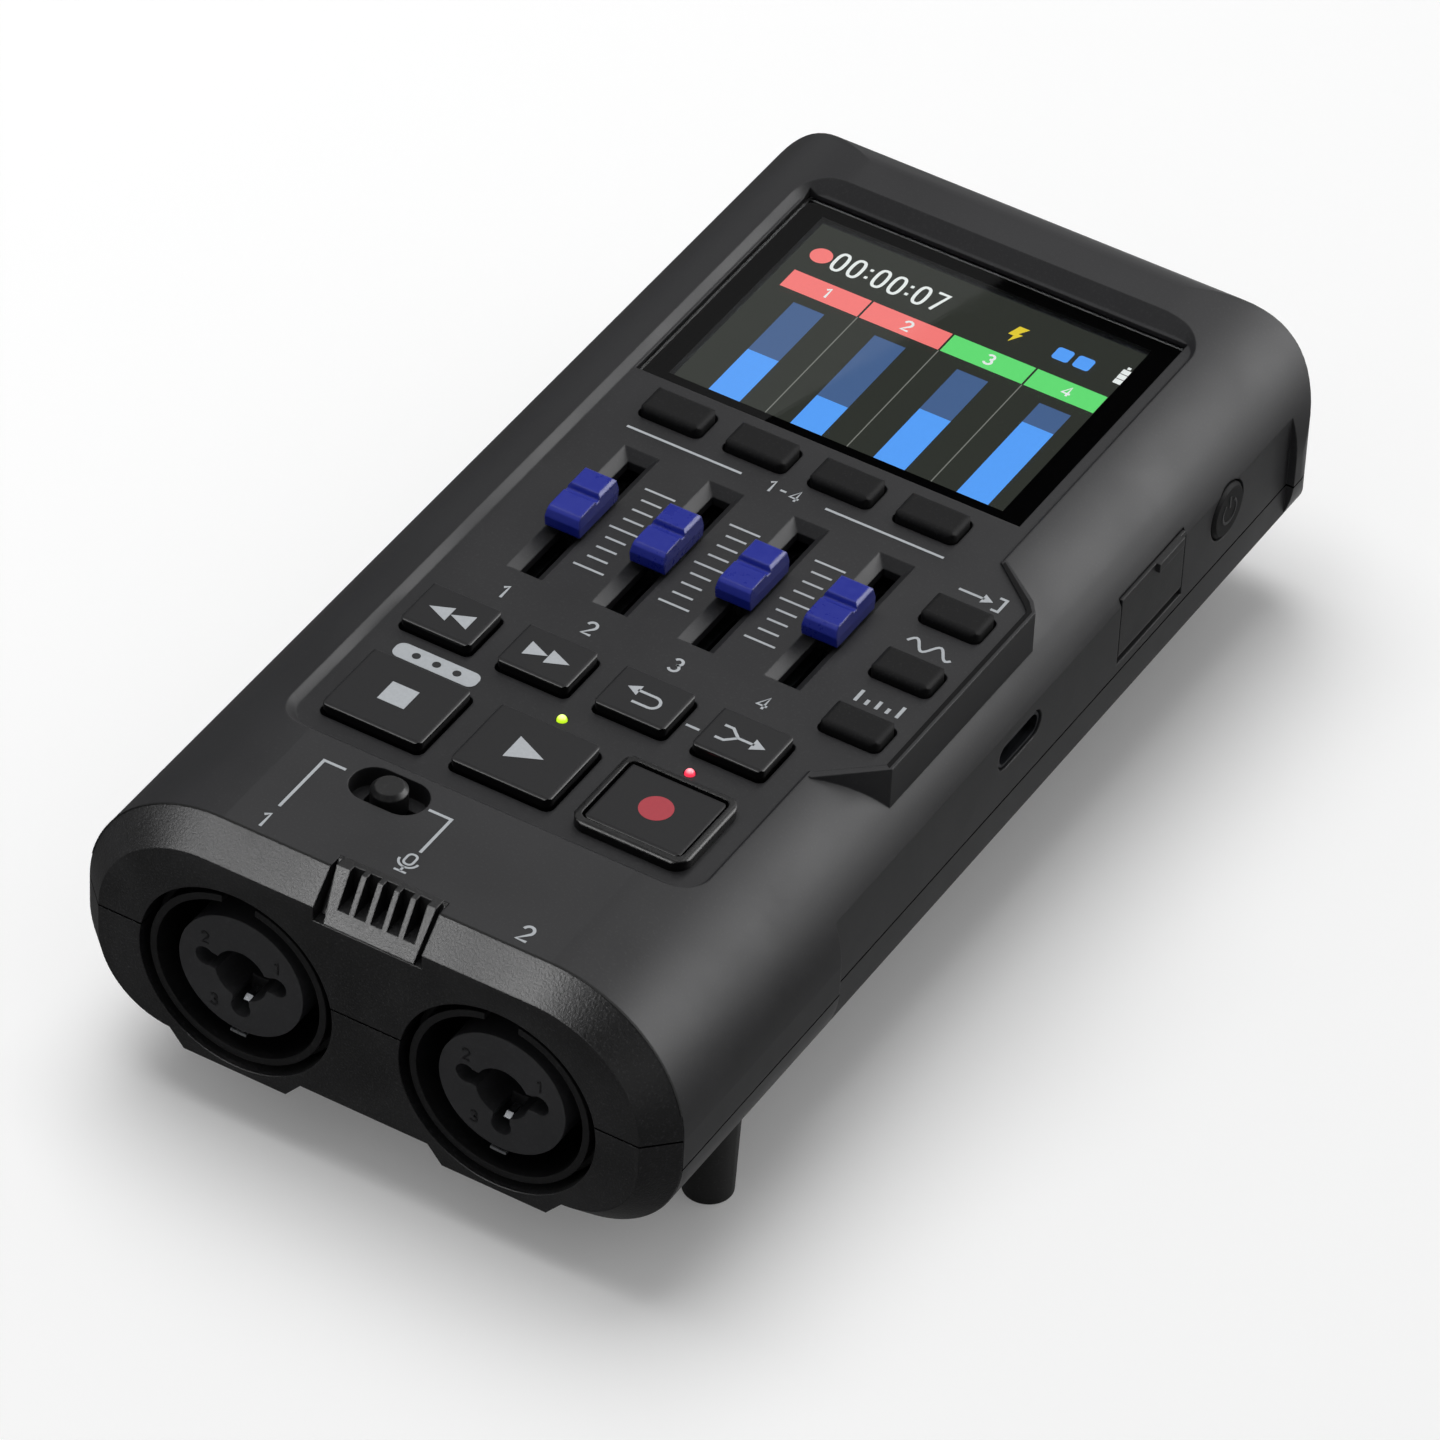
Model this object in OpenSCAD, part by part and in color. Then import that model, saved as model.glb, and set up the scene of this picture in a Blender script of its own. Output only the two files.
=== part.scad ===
// Pocket digital multitrack recorder with four faders, two combo jacks and a colour display.
// Millimetres, +X to the user's right, +Y toward the display end, +Z up, feet on z = 0.

/* [Body] */
// width over the two rounded sides
body_w = 75; // [74:0.5:78]
// length from the jack face to the rear end
body_l = 144; // [143:0.5:148]
// thickness of the case without its feet
body_t = 33.5; // [33:0.25:35]
// thickness of the moulded side and bottom walls
wall = 2; // [1.8:0.1:2.2]
// radius of the two upper long edges
top_r = 17; // [16.5:0.25:17.5]
// radius of the two lower long edges
bot_r = 13; // [12.5:0.25:13.5]
// plan radius of the rear corners
rear_r = 4.5; // [4:0.25:6]
// radius of the rear upper and lower edges
rear_edge_r = 5; // [4:0.5:6]
// chamfer that runs round the jack face
front_chamfer = 3.4; // [3:0.1:3.8]
// height of the case bottom above the table
foot_drop = 6.5; // [6:0.25:8]
// depth of the control panel below the top margin
panel_drop = 1.7; // [1.5:0.1:1.9]
// thickness of the control panel
panel_t = 2.2; // [2:0.1:2.4]
// height of the case parting line below the panel
split_drop = 19.5; // [19:0.25:20]
// depth of the flat cut along the right side
facet_cut = 1; // [0.8:0.1:1.2]

/* [Control panel] */
// middle of the control layout, to the right of the body centre line
panel_x = 0.4; // [0.2:0.1:0.6]
// gap between the display glass and the left edge of the recessed panel
panel_gap_left = 0.4; // [0.3:0.05:0.6]
// gap between the display glass and the right edge of the recessed panel
panel_gap_right = 1.4; // [1.2:0.05:1.6]
// front edge of the recessed panel, from the jack face
panel_front = 22.2; // [21.8:0.1:22.4]
// rear edge of the recessed panel, from the rear end
panel_back = 11.4; // [11:0.1:11.8]
// corner radius of the recessed panel
panel_r = 3; // [2.5:0.25:3.5]
// distance of the side key ledge from the right side of the case
ledge_in = 3.3; // [3:0.1:3.6]
// width of the low rim round the ledge
ledge_rim = 0.9; // [0.8:0.05:1]
// height of the low rim round the ledge
ledge_rim_h = 0.35; // [0.3:0.05:0.5]

/* [Display] */
// width of the display glass
glass_w = 49.6; // [49:0.1:50]
// depth of the display glass
glass_d = 38.1; // [37.7:0.1:38.3]
// thickness of the display glass
glass_t = 0.9; // [0.7:0.05:1]
// gap between the glass and the rear edge of the recessed panel
glass_back = 0.6; // [0.4:0.05:0.8]
// depth of the glass face below the panel
glass_sink = 0.5; // [0.4:0.05:0.6]
// width of the display module
lcd_w = 46.8; // [46:0.2:47.4]
// depth of the display module
lcd_d = 36; // [35.6:0.2:36.6]
// thickness of the display module
lcd_t = 2.8; // [2.4:0.1:3.2]

/* [Faders] */
// spacing of the four faders
fader_pitch = 10.98; // [10.8:0.02:11.1]
// gap between the small transport keys and the fader slots
slot_gap_front = 9.2; // [9:0.1:9.4]
// gap between the fader slots and the track keys
slot_gap_rear = 6.5; // [6.3:0.1:6.7]
// width of the slot through the panel
slot_w = 2.3; // [2.1:0.1:2.5]
// width of the sloped border round each slot
slot_bevel = 1.15; // [1:0.05:1.3]
// distance of the caps in front of the slot middle at rest
cap_rest = 0.5; // [0:0.1:1]
// length of a fader cap along its travel
cap_l = 8.4; // [8:0.1:8.8]
// width of a fader cap
cap_w = 4.5; // [4.2:0.1:4.8]
// height of a fader cap
cap_h = 3.1; // [2.8:0.1:3.4]
// gap between the panel and a fader cap
cap_gap = 0.35; // [0.3:0.05:0.5]
// width of the metal fader lever
lever_w = 1.2; // [1:0.05:1.3]
// length of the metal fader lever along its travel
lever_l = 3.8; // [3.4:0.1:4.2]

/* [Keys] */
// width of the four track keys
track_w = 7.8; // [7.5:0.1:8.1]
// depth of the rubber keys
rubber_d = 4.5; // [4.3:0.1:4.6]
// width of the three side keys
side_w = 7.4; // [7.2:0.1:7.6]
// height of the rubber keys above the panel
rubber_h = 1.3; // [1.1:0.1:1.5]
// width of the four small transport keys
small_w = 9; // [8.7:0.1:9.3]
// depth of the four small transport keys
small_d = 7.2; // [7:0.1:7.3]
// width of the three large transport keys
large_w = 12.7; // [12.4:0.1:12.9]
// depth of the three large transport keys
large_d = 10.9; // [10.7:0.1:11]
// spacing of the four small transport keys
small_pitch = 12.36; // [12.3:0.02:12.4]
// spacing of the three large transport keys
large_pitch = 16.35; // [16.3:0.05:16.4]
// height of the transport keys above the panel
key_h = 1.5; // [1.3:0.1:1.7]
// travel of every key
key_travel = 0.5; // [0.4:0.05:0.6]
// thickness of the retaining flange under each key
flange_t = 0.65; // [0.6:0.05:0.8]
// reach of the retaining flange beyond the key
flange_lip = 0.7; // [0.6:0.05:0.75]
// gap between the panel front edge and the large transport keys
large_gap = 2.7; // [2.6:0.05:2.8]
// gap between the large and the small transport keys
small_gap = 5.6; // [5.5:0.05:5.8]
// gap between the track keys and the display glass
track_gap = 2.5; // [2.4:0.05:2.6]
// distance of the side keys from the right edge of their ledge
side_in = 6.6; // [6.5:0.05:6.7]
// wall of the raised frame round the record key
guard_wall = 0.9; // [0.8:0.05:1]
// height of the raised frame round the record key
guard_h = 1.4; // [1.3:0.1:1.6]

/* [Front jacks] */
// spacing of the two combo jacks
jack_pitch = 33; // [32.5:0.1:33.5]
// depth of the jack centres below the panel
jack_drop = 17.5; // [17.3:0.1:17.6]
// outer radius of the jack ring
ring_r = 12; // [11.8:0.05:12.1]
// radius of the groove round the insert
groove_r = 10.4; // [10.2:0.05:10.6]
// radius of the jack insert
insert_r = 7.9; // [7.7:0.05:8.1]
// radius of the bore for a 6.35 mm plug
plug_r = 3.3; // [3.2:0.02:3.4]
// length of the jack body behind the face
jack_l = 31.4; // [31.2:0.1:31.6]

/* [Side controls] */
// radius of the power key
power_r = 3.5; // [3.3:0.05:3.7]
// middle of the power key, from the rear end
power_back = 21; // [20.5:0.1:21.5]
// radius of the volume wheel
wheel_r = 7.3; // [7.2:0.02:7.4]
// thickness of the volume wheel
wheel_t = 2.9; // [2.7:0.05:3.1]
// gap between the battery bay and the volume wheel
wheel_gap = 2.5; // [2.2:0.1:2.8]
// radius of the bore for a 3.5 mm plug
phones_r = 1.8; // [1.76:0.01:1.84]
// gap between the volume wheel and the middle of the phones jack
phones_gap = 5.7; // [5.6:0.1:6.2]
// width of the memory card door
card_w = 14.4; // [14:0.1:14.8]
// height of the memory card door
card_h = 8; // [7.6:0.1:8.4]
// middle of the memory card door, from the rear end
card_back = 38.4; // [38.1:0.1:38.7]
// middle of the serial port, from the jack face
port_y = 75.9; // [75.6:0.1:76.2]
// diameter of the input slide knob
knob_d = 4.2; // [4:0.05:4.4]
// travel of the input slide knob
knob_travel = 4; // [3.6:0.1:4.2]

/* [Battery bay] */
// radius of one battery cell
cell_r = 7.1; // [6.9:0.02:7.15]
// length of one battery cell with its nub
cell_l = 50.4; // [50:0.1:50.5]
// spacing of the four cells
cell_pitch = 14.5; // [14.4:0.02:14.6]
// radius of the battery door hinge pin
hinge_r = 0.8; // [0.75:0.01:0.85]

/* [Fits] */
// side gap round every moving key
gap_key = 0.25; // [0.2:0.02:0.3]
// gap between fixed pieces that fit into each other
gap_fit = 0.1; // [0.08:0.01:0.14]
// radial gap of every turning pin
gap_run = 0.05; // [0.04:0.005:0.06]

/* [Hidden] */
$fn = 64;
eps = 0.01;
hw = body_w / 2;
yf = -body_l / 2;
yr = body_l / 2;
zb = foot_drop;
zt = zb + body_t;
zp = zt - panel_drop;
zu = zp - panel_t;
z_split = zp - split_drop;
y_seam = yf + front_chamfer;
x_facet = hw - facet_cut;
// stack under the keys
switch_h = 0.8;
board_t = 1.2;
flange_top = zu - gap_run;
flange_bot = flange_top - flange_t;
ctl_top = flange_bot - key_travel - 0.1 - switch_h;
ctl_bot = ctl_top - board_t;
// display
panel_left = glass_w / 2 - panel_x + panel_gap_left;
panel_right = glass_w / 2 + panel_x + panel_gap_right;
panel_y0 = yf + panel_front;
panel_y1 = yr - panel_back;
glass_x = panel_x;
glass_y = panel_y1 - glass_back - glass_d / 2;
glass_top = zp - glass_sink;
glass_bot = glass_top - glass_t;
lcd_front = glass_y - lcd_d / 2;
// rows of keys from the panel front edge and from the glass
large_y = panel_y0 + large_gap + large_d / 2;
small_y = large_y + large_d / 2 + small_gap + small_d / 2;
track_y = glass_y - glass_d / 2 - track_gap - rubber_d / 2;
fader_x = [for (i = [0:3]) panel_x + (i - 1.5) * fader_pitch];
small_x = [for (i = [0:3]) panel_x + (i - 1.5) * small_pitch];
large_x = [for (i = [-1:1]) panel_x + 0.15 + i * large_pitch];
// the record key is lower and a little smaller than its neighbours
record_w = large_w - 0.6;
record_d = large_d - 0.6;
record_h = guard_h - 0.1;
led_y = small_y - small_d / 2 - small_gap / 2 - 0.1;
led_pos = [[panel_x - 0.2, led_y - 0.1], [panel_x + 15.8, led_y + 0.1]];
led_r = 0.6;
// ledge with the three side keys, spread between the small keys and the track keys
ledge_x = hw - ledge_in;
ledge_y0 = small_y - 0.4;
ledge_y1 = track_y - 0.85;
ledge_l = ledge_y1 - ledge_y0;
side_x = ledge_x - side_in;
side_y = [for (f = [0.7208, 0.4748, 0.2288]) ledge_y0 + f * ledge_l];
side_reach = side_w / 2 + flange_lip + 0.3;
side_y0 = side_y[2] - rubber_d / 2 - flange_lip - 0.3;
side_y1 = side_y[0] + rubber_d / 2 + flange_lip + 0.7;
// faders fill the room between the small keys and the track keys
slot_y0 = small_y + small_d / 2 + slot_gap_front;
slot_y1 = track_y - rubber_d / 2 - slot_gap_rear;
slot_l = slot_y1 - slot_y0;
slot_y = (slot_y0 + slot_y1) / 2;
cap_y = slot_y - cap_rest;
bevel_depth = 1.1;
pot_w = 5.8;
pot_l = slot_l + 7;
pot_h = 5.2;
// input slide switch
knob_x = panel_x - 8.4;
knob_y = yf + 16.7;
knob_rest = knob_x;
knob_well_l = knob_d + knob_travel + 1.2;
knob_well_w = knob_d + 1.4;
knob_floor = zt - 2.6;
stem_w = 1.6;
// front jacks
zj = zp - jack_drop;
jack_x = jack_pitch / 2;
hole_r = ring_r + 0.3;
barrel_r = ring_r - 1;
ring_front = yf + 0.5;
insert_front = yf + 1.1;
jack_rear = yf + jack_l;
jack_board_t = 1.6;
bezel_split = zj + 2.3;
bump_r = hole_r + 0.8;
// main board and battery bay
cell_z = zb + wall + 1.6 + cell_r;
board_bot = cell_z + cell_r + 0.9;
board_top = board_bot + 1.6;
bay_x = 2 * cell_pitch + 1;
bay_wall = 1.2;
bay_end = 1.5;
bay_front = jack_rear + 7.1;
bay_rear = bay_front + cell_l + 3.6;
cell_y0 = bay_front + 2.3;
contact_w = 7.2;
door_x = bay_x - 0.6;
door_y0 = bay_front + 0.7;
door_y1 = bay_rear - 0.8;
door_ear = door_y1 - 2.8;
hinge_y = door_y1 + 1.6;
hinge_z = zb + 1.8;
knuckle_r = hinge_r + 0.8;
knuckle_x = hw - bot_r + 1.3;
board_y0 = bay_front + 1;
board_y1 = yr - 11.5;
board_x = hw - wall - 2.5;
// right side
facet_y0 = yf + 36;
facet_y1 = yr - 6;
power_y = yr - power_back;
power_z = zp - 12.8;
power_out = x_facet + 0.3;
power_flange = hw - wall - 2.55;
card_y = yr - card_back;
card_hinge_r = 1.15;
card_hinge_x = x_facet - card_hinge_r;
card_hinge_z = zp - 16.7;
card_pin_r = 0.5;
card_l = 16;
port_x = x_facet - 6.2;
port_z = board_bot + 0.3;
port_w = 9;
port_h = 3.3;
// fixings
case_r = 1.1;
boss_r = 2.6;
case_x = hw - 10;
case_rear_x = hw - 11.5;
case_y0 = jack_rear + 5;
case_y1 = yr - 6.2;
case_pos = [[-case_x, case_y0], [case_x, case_y0], [-case_rear_x, case_y1], [case_rear_x, case_y1]];
screw_r = 0.9;
screw_head_r = 1.8;
post_x = card_hinge_x - card_l - screw_head_r - 0.4;
post_y0 = bay_rear + 7.5;
post_y1 = board_y1 - 3.5;
post_pos = [[-post_x, post_y0], [post_x, post_y0], [-post_x, post_y1], [post_x, post_y1]];
// control board and its posts, clear of the keys
ctl_post_r = 1.5;
ctl_y0 = panel_y0 - 1;
ctl_y1 = lcd_front - 1.15;
ctl_x0 = fader_x[0] - track_w / 2 - flange_lip - ctl_post_r - 0.4;
ctl_x1 = fader_x[3] + track_w / 2 + flange_lip + ctl_post_r + 0.4;
ctl_front_x = 20.5;
ctl_front_y = small_y - small_d / 2 - small_gap / 2;
ctl_rear_y = ctl_y1 - 1.9;
ctl_pos = [[-ctl_front_x, ctl_front_y], [ctl_front_x, ctl_front_y],
    [ctl_x0, ctl_rear_y], [ctl_x1, ctl_rear_y]];
foot_x = hw - 6;
// the rear feet stand further in than the front ones
foot_pos = [[foot_x, yf + 20], [foot_x - 10, yr - 20]];
foot_r = 3.3;
// left side
wheel_y = bay_rear + bay_end + wheel_gap + wheel_r;
wheel_z = z_split + 1.6;
wheel_x = -hw + wheel_r + 0.2;
wheel_shaft_r = 1.5;
phones_y = wheel_y + wheel_r + phones_gap;
phones_z = board_bot - 2.9;
phones_nose_r = 2.9;

// Helpers
module along_y(y0, y1) {
    translate([0, y1, 0]) rotate([90, 0, 0]) linear_extrude(height = y1 - y0) children();
}
module along_x(x0, x1) {
    translate([x0, 0, 0]) rotate([90, 0, 90]) linear_extrude(height = x1 - x0) children();
}
module along_z(z0, z1) {
    translate([0, 0, z0]) linear_extrude(height = z1 - z0) children();
}
module box(x0, x1, y0, y1, z0, z1) {
    translate([x0, y0, z0]) cube([x1 - x0, y1 - y0, z1 - z0]);
}
module post(x, y, z0, z1, r) {
    translate([x, y, z0]) cylinder(r = r, h = z1 - z0);
}
module rod_y(x, z, y0, y1, r) {
    translate([x, y1, z]) rotate([90, 0, 0]) cylinder(r = r, h = y1 - y0);
}
module rod_x(y, z, x0, x1, r) {
    translate([x0, y, z]) rotate([0, 90, 0]) cylinder(r = r, h = x1 - x0);
}
module round_rect(w, d, r) {
    square([w - 2 * r, d], center = true);
    square([w, d - 2 * r], center = true);
    for (sx = [-1, 1]) {
        for (sy = [-1, 1]) {
            translate([sx * (w / 2 - r), sy * (d / 2 - r)]) circle(r = r);
        }
    }
}
// outline with two rounded upper corners, standing on y = 0
module round_top(w, h, r) {
    translate([-w / 2, 0]) square([w, h - r]);
    translate([-w / 2 + r, 0]) square([w - 2 * r, h]);
    for (s = [-1, 1]) {
        translate([s * (w / 2 - r), h - r]) circle(r = r);
    }
}
// the case section drawn out along y, inset by i and cut flat at z1
module case_prism(y0, y1, i, z1) {
    w = 2 * (hw - i);
    h = body_t + 1 - i;
    intersection() {
        along_y(y0, y1) translate([0, zb - 1]) round_top(w, h, top_r - i);
        along_y(y0, y1) translate([0, zt + 1]) rotate(180) round_top(w, h, bot_r - i);
        box(-hw - 1, hw + 1, y0 - 1, y1 + 1, zb - 1, z1);
    }
}
module plan_outline(i) {
    translate([-hw - 1, yf - 1]) square([body_w + 2, body_l - rear_r + 1]);
    translate([-hw + rear_r, yr - rear_r - 1]) square([body_w - 2 * rear_r, rear_r + 1 - i]);
    for (s = [-1, 1]) {
        translate([s * (hw - rear_r), yr - rear_r]) circle(r = rear_r - i);
    }
}
module side_outline(i) {
    translate([yf - 1, zb - 1]) square([body_l - rear_edge_r + 1, body_t + 2]);
    translate([yr - rear_edge_r - 1, zb + rear_edge_r]) {
        square([rear_edge_r + 1 - i, body_t - 2 * rear_edge_r]);
    }
    for (z = [zb + rear_edge_r, zt - rear_edge_r]) {
        translate([yr - rear_edge_r, z]) circle(r = rear_edge_r - i);
    }
}
// the case as one solid, inset by i all round and cut flat at z1
module case_solid(y0, i, z1) {
    intersection() {
        case_prism(y0, yr - i, i, z1);
        along_z(zb - 1, zt + 1) plan_outline(i);
        along_x(-hw - 1, hw + 1) side_outline(i);
    }
}
// end plate with the chamfer that runs round the jack face
module end_plate() {
    c = front_chamfer;
    for (s = [-1, 1]) {
        translate([s * (hw - top_r), y_seam, zt - top_r]) rotate([90, 0, 0]) {
            cylinder(r1 = top_r, r2 = top_r - c, h = c);
        }
        translate([s * (hw - bot_r), y_seam, zb + bot_r]) rotate([90, 0, 0]) {
            cylinder(r1 = bot_r, r2 = bot_r - c, h = c);
        }
    }
    along_x(-(hw - top_r), hw - top_r) {
        polygon([[yf, zb + bot_r], [y_seam, zb + bot_r], [y_seam, zt], [yf, zt - c]]);
    }
    along_x(-(hw - bot_r), hw - bot_r) {
        polygon([[yf, zb + c], [y_seam, zb], [y_seam, zt - top_r], [yf, zt - top_r]]);
    }
    along_z(zb + bot_r, zt - top_r) {
        polygon([[-hw + c, yf], [hw - c, yf], [hw, y_seam], [-hw, y_seam]]);
    }
}
// recess of the control panel with sloped borders
module panel_recess() {
    b = panel_drop + 0.3;
    x0 = -panel_left + panel_r;
    x1 = panel_right - panel_r;
    y0 = panel_y0 + panel_r;
    y1 = panel_y1 - panel_r;
    for (x = [x0, x1]) {
        for (y = [y0, y1]) {
            translate([x, y, zp]) cylinder(r1 = panel_r, r2 = panel_r + b, h = b);
        }
    }
    r = panel_r;
    along_x(x0, x1) polygon([[y0 - r, zp], [y1 + r, zp], [y1 + r + b, zp + b], [y0 - r - b, zp + b]]);
    along_y(y0, y1) polygon([[x0 - r, zp], [x1 + r, zp], [x1 + r + b, zp + b], [x0 - r - b, zp + b]]);
}
module ledge_outline(i) {
    x = ledge_x - i;
    polygon([[ledge_x - 14.2, ledge_y0 + i], [ledge_x - 6.6 - i * 0.4, ledge_y0 + 0.3 + i],
        [x, side_y0 - 0.55 + i * 0.4], [x, side_y1 + 2.05 - i * 0.4], [x - 1.1, side_y1 + 3.55 - i * 0.8],
        [ledge_x - 7.8, ledge_y1 - i], [ledge_x - 14.2, ledge_y1 - i]]);
}
// opening for one key through the panel
module key_hole(x, y, w, d, r) {
    translate([x, y, zu - 1]) linear_extrude(height = panel_t + 2) {
        round_rect(w + 2 * gap_key, d + 2 * gap_key, r);
    }
}
// rounded key with its retaining flange
module soft_key(x, y, w, d, h, r, edge) {
    translate([x, y, 0]) {
        intersection() {
            along_z(flange_top - 0.2, zp + h) round_rect(w, d, r);
            translate([0, 0, flange_top - 0.2]) along_y(-d, d) round_top(w, zp + h - flange_top + 0.2, edge);
            translate([0, 0, flange_top - 0.2]) along_x(-w, w) round_top(d, zp + h - flange_top + 0.2, edge);
        }
        along_z(flange_bot, flange_top) round_rect(w + 2 * flange_lip, d + 2 * flange_lip, r);
    }
}
module rubber_key(x, y, w) {
    color("#1e1e1f") soft_key(x, y, w, rubber_d, rubber_h, 1, 0.7);
}
module small_key(i) {
    color("#2b2b2d") soft_key(small_x[i], small_y, small_w, small_d, key_h, 0.9, 0.45);
}
module large_key(i) {
    color("#2b2b2d") soft_key(large_x[i], large_y, large_w, large_d, key_h, 1, 0.45);
}
// four-sided funnel round a fader slot
module fader_well(x) {
    a = bevel_depth;
    b = slot_bevel;
    l = slot_l / 2;
    w = slot_w / 2;
    translate([x, slot_y, zp]) intersection() {
        along_x(-6, 6) polygon([[-l, -a], [l, -a], [l + b, eps], [-l - b, eps]]);
        along_y(-slot_l, slot_l) polygon([[-w, -a], [w, -a], [w + b, eps], [-w - b, eps]]);
    }
    box(x - w, x + w, slot_y0, slot_y1, zu - 1, zp);
}
module mic_block(g) {
    w = 13.4 + 2 * g;
    y0 = yf;
    lift = 1.3;
    c = front_chamfer;
    translate([panel_x - 0.4, 0, 0]) along_x(-w / 2, w / 2) {
        polygon([[y0 - g, zt - c + lift], [y0 + c - lift + 0.3, zt + 0.3 + g],
            [y_seam + 1.8 + g, zt + 0.3 + g], [y_seam + 1.8 + g, zt - 9.4 - g],
            [y_seam + 0.2 - g, zt - 9.4 - g], [y_seam + 0.2 - g, zt - 5.2 - g], [y0 - g, zt - 5.2 - g]]);
    }
}
module tongue() {
    g = gap_fit;
    t = 1.4;
    difference() {
        case_prism(y_seam - 0.5, y_seam + 3, wall + g, zu - g);
        case_prism(y_seam - 1, y_seam + 4, wall + g + t, zu - g - t);
    }
}
module jack_holes(y0, y1) {
    for (s = [-1, 1]) {
        rod_y(s * jack_x, zj, y0, y1, hole_r);
    }
}
module bezel_body() {
    difference() {
        union() {
            end_plate();
            tongue();
            for (s = [-1, 1]) {
                translate([s * jack_x, 0, zj]) along_y(yf, y_seam) {
                    polygon([[-bump_r, 0], [-bump_r, -0.41 * bump_r], [-bump_r / 2, -bump_r],
                        [bump_r / 2, -bump_r], [bump_r, -0.41 * bump_r], [bump_r, 0]]);
                }
            }
        }
        jack_holes(yf - 1, y_seam + 5);
        mic_block(gap_fit);
        box(panel_x - 7.2, panel_x + 6.4, y_seam, y_seam + 5, zt - 9.8, zt + 1);
    }
}
// tool for the flat cut along the right side
module side_facet() {
    translate([0, (facet_y0 + facet_y1) / 2, zb + 15]) {
        along_x(x_facet, hw + 1) round_rect(facet_y1 - facet_y0, 40, 6);
    }
}
module pill(l, w) {
    square([l - w, w], center = true);
    for (s = [-1, 1]) {
        translate([s * (l - w) / 2, 0]) circle(r = w / 2);
    }
}

// Case
module top_shell() {
    color("#3a3a3c") difference() {
        union() {
            difference() {
                union() {
                    case_solid(y_seam + gap_fit, 0, zt + 1);
                    along_z(zp - 7, zp + ledge_rim_h) ledge_outline(0);
                }
                case_solid(yf, wall, zu);
                box(side_x - side_reach, side_x + side_reach, side_y0, side_y1, zp - 9.5, zu);
                panel_recess();
                along_z(zp, zt + 1) ledge_outline(ledge_rim);
                // flat cut along the right side
                side_facet();
            }
            for (p = case_pos) {
                post(p[0], p[1], board_bot + gap_fit, zu + 0.5, boss_r);
            }
            for (p = ctl_pos) {
                post(p[0], p[1], ctl_top, zu + 0.5, ctl_post_r);
            }
            // lugs of the card door hinge
            for (s = [-1, 1]) {
                translate([0, card_y + s * (card_w / 2 + 0.2 + 0.8), 0]) {
                    box(card_hinge_x - 1.4, x_facet - 0.2, -0.8, 0.8, card_hinge_z - 1.5, card_hinge_z + 1.5);
                }
            }
        }
        box(-hw - 1, hw + 1, yf - 1, yr + 1, -1, z_split + gap_fit / 2);
        for (p = case_pos) {
            post(p[0], p[1], 0, zu - 2, case_r + gap_run);
        }
        for (p = ctl_pos) {
            post(p[0], p[1], 0, zu + 0.6, screw_r + gap_run);
        }
        // display window with a narrow seat
        box(glass_x - glass_w / 2 - gap_fit, glass_x + glass_w / 2 + gap_fit, glass_y - glass_d / 2 - gap_fit,
            glass_y + glass_d / 2 + gap_fit, glass_bot, zt);
        box(glass_x - glass_w / 2 + 2.4, glass_x + glass_w / 2 - 2.4, glass_y - glass_d / 2 + 1.6,
            glass_y + glass_d / 2 - 1.6, zu - 1, zt);
        for (x = fader_x) {
            key_hole(x, track_y, track_w, rubber_d, 1);
            fader_well(x);
        }
        for (y = side_y) {
            key_hole(side_x, y, side_w, rubber_d, 1);
        }
        for (x = small_x) {
            key_hole(x, small_y, small_w, small_d, 0.9);
        }
        key_hole(large_x[0], large_y, large_w, large_d, 1);
        key_hole(large_x[1], large_y, large_w, large_d, 1);
        key_hole(large_x[2], large_y, record_w, record_d, 1);
        for (p = led_pos) {
            post(p[0], p[1], zu - 1, zp + 1, led_r + gap_fit);
        }
        // well and slot of the input slide knob
        translate([knob_x, knob_y, 0]) along_z(knob_floor, zt + 1) pill(knob_well_l, knob_well_w);
        translate([knob_x, knob_y, 0]) along_z(zu - 1, zt) {
            square([knob_travel + stem_w + 0.6, stem_w + 2 * gap_key], center = true);
        }
        mic_block(gap_fit);
        box(panel_x - 7.2, panel_x + 6.4, y_seam - 1, y_seam + 1.9 + gap_fit, zu - 1, zt - 1);
        // right side openings
        rod_x(power_y, power_z, power_flange + 0.7, hw + 1, power_r + 0.3);
        translate([0, card_y, 0]) {
            box(hw - 8, hw + 1, -card_w / 2 - 0.2, card_w / 2 + 0.2,
                card_hinge_z - card_hinge_r - 0.25, card_hinge_z + card_h + 0.2);
        }
        rod_y(card_hinge_x, card_hinge_z, card_y - card_w / 2 - 1.4, card_y + card_w / 2 + 1.4,
            card_pin_r + gap_run);
        translate([0, yf + port_y, port_z]) along_x(hw - 8, hw + 1) pill(port_w + 0.6, port_h + 0.6);
        // left side openings
        translate([0, wheel_y, wheel_z]) {
            box(-hw - 1, -hw + 1.1, -wheel_r - 1.7, wheel_r + 1.7, -0.9, wheel_t + 0.9);
            box(-hw - 1, -hw + 8, -wheel_r - 0.5, wheel_r + 0.5, -0.4, wheel_t + 0.4);
        }
        rod_x(phones_y, phones_z, -hw - 1, -hw + 8, phones_nose_r + gap_fit);
    }
}
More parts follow.
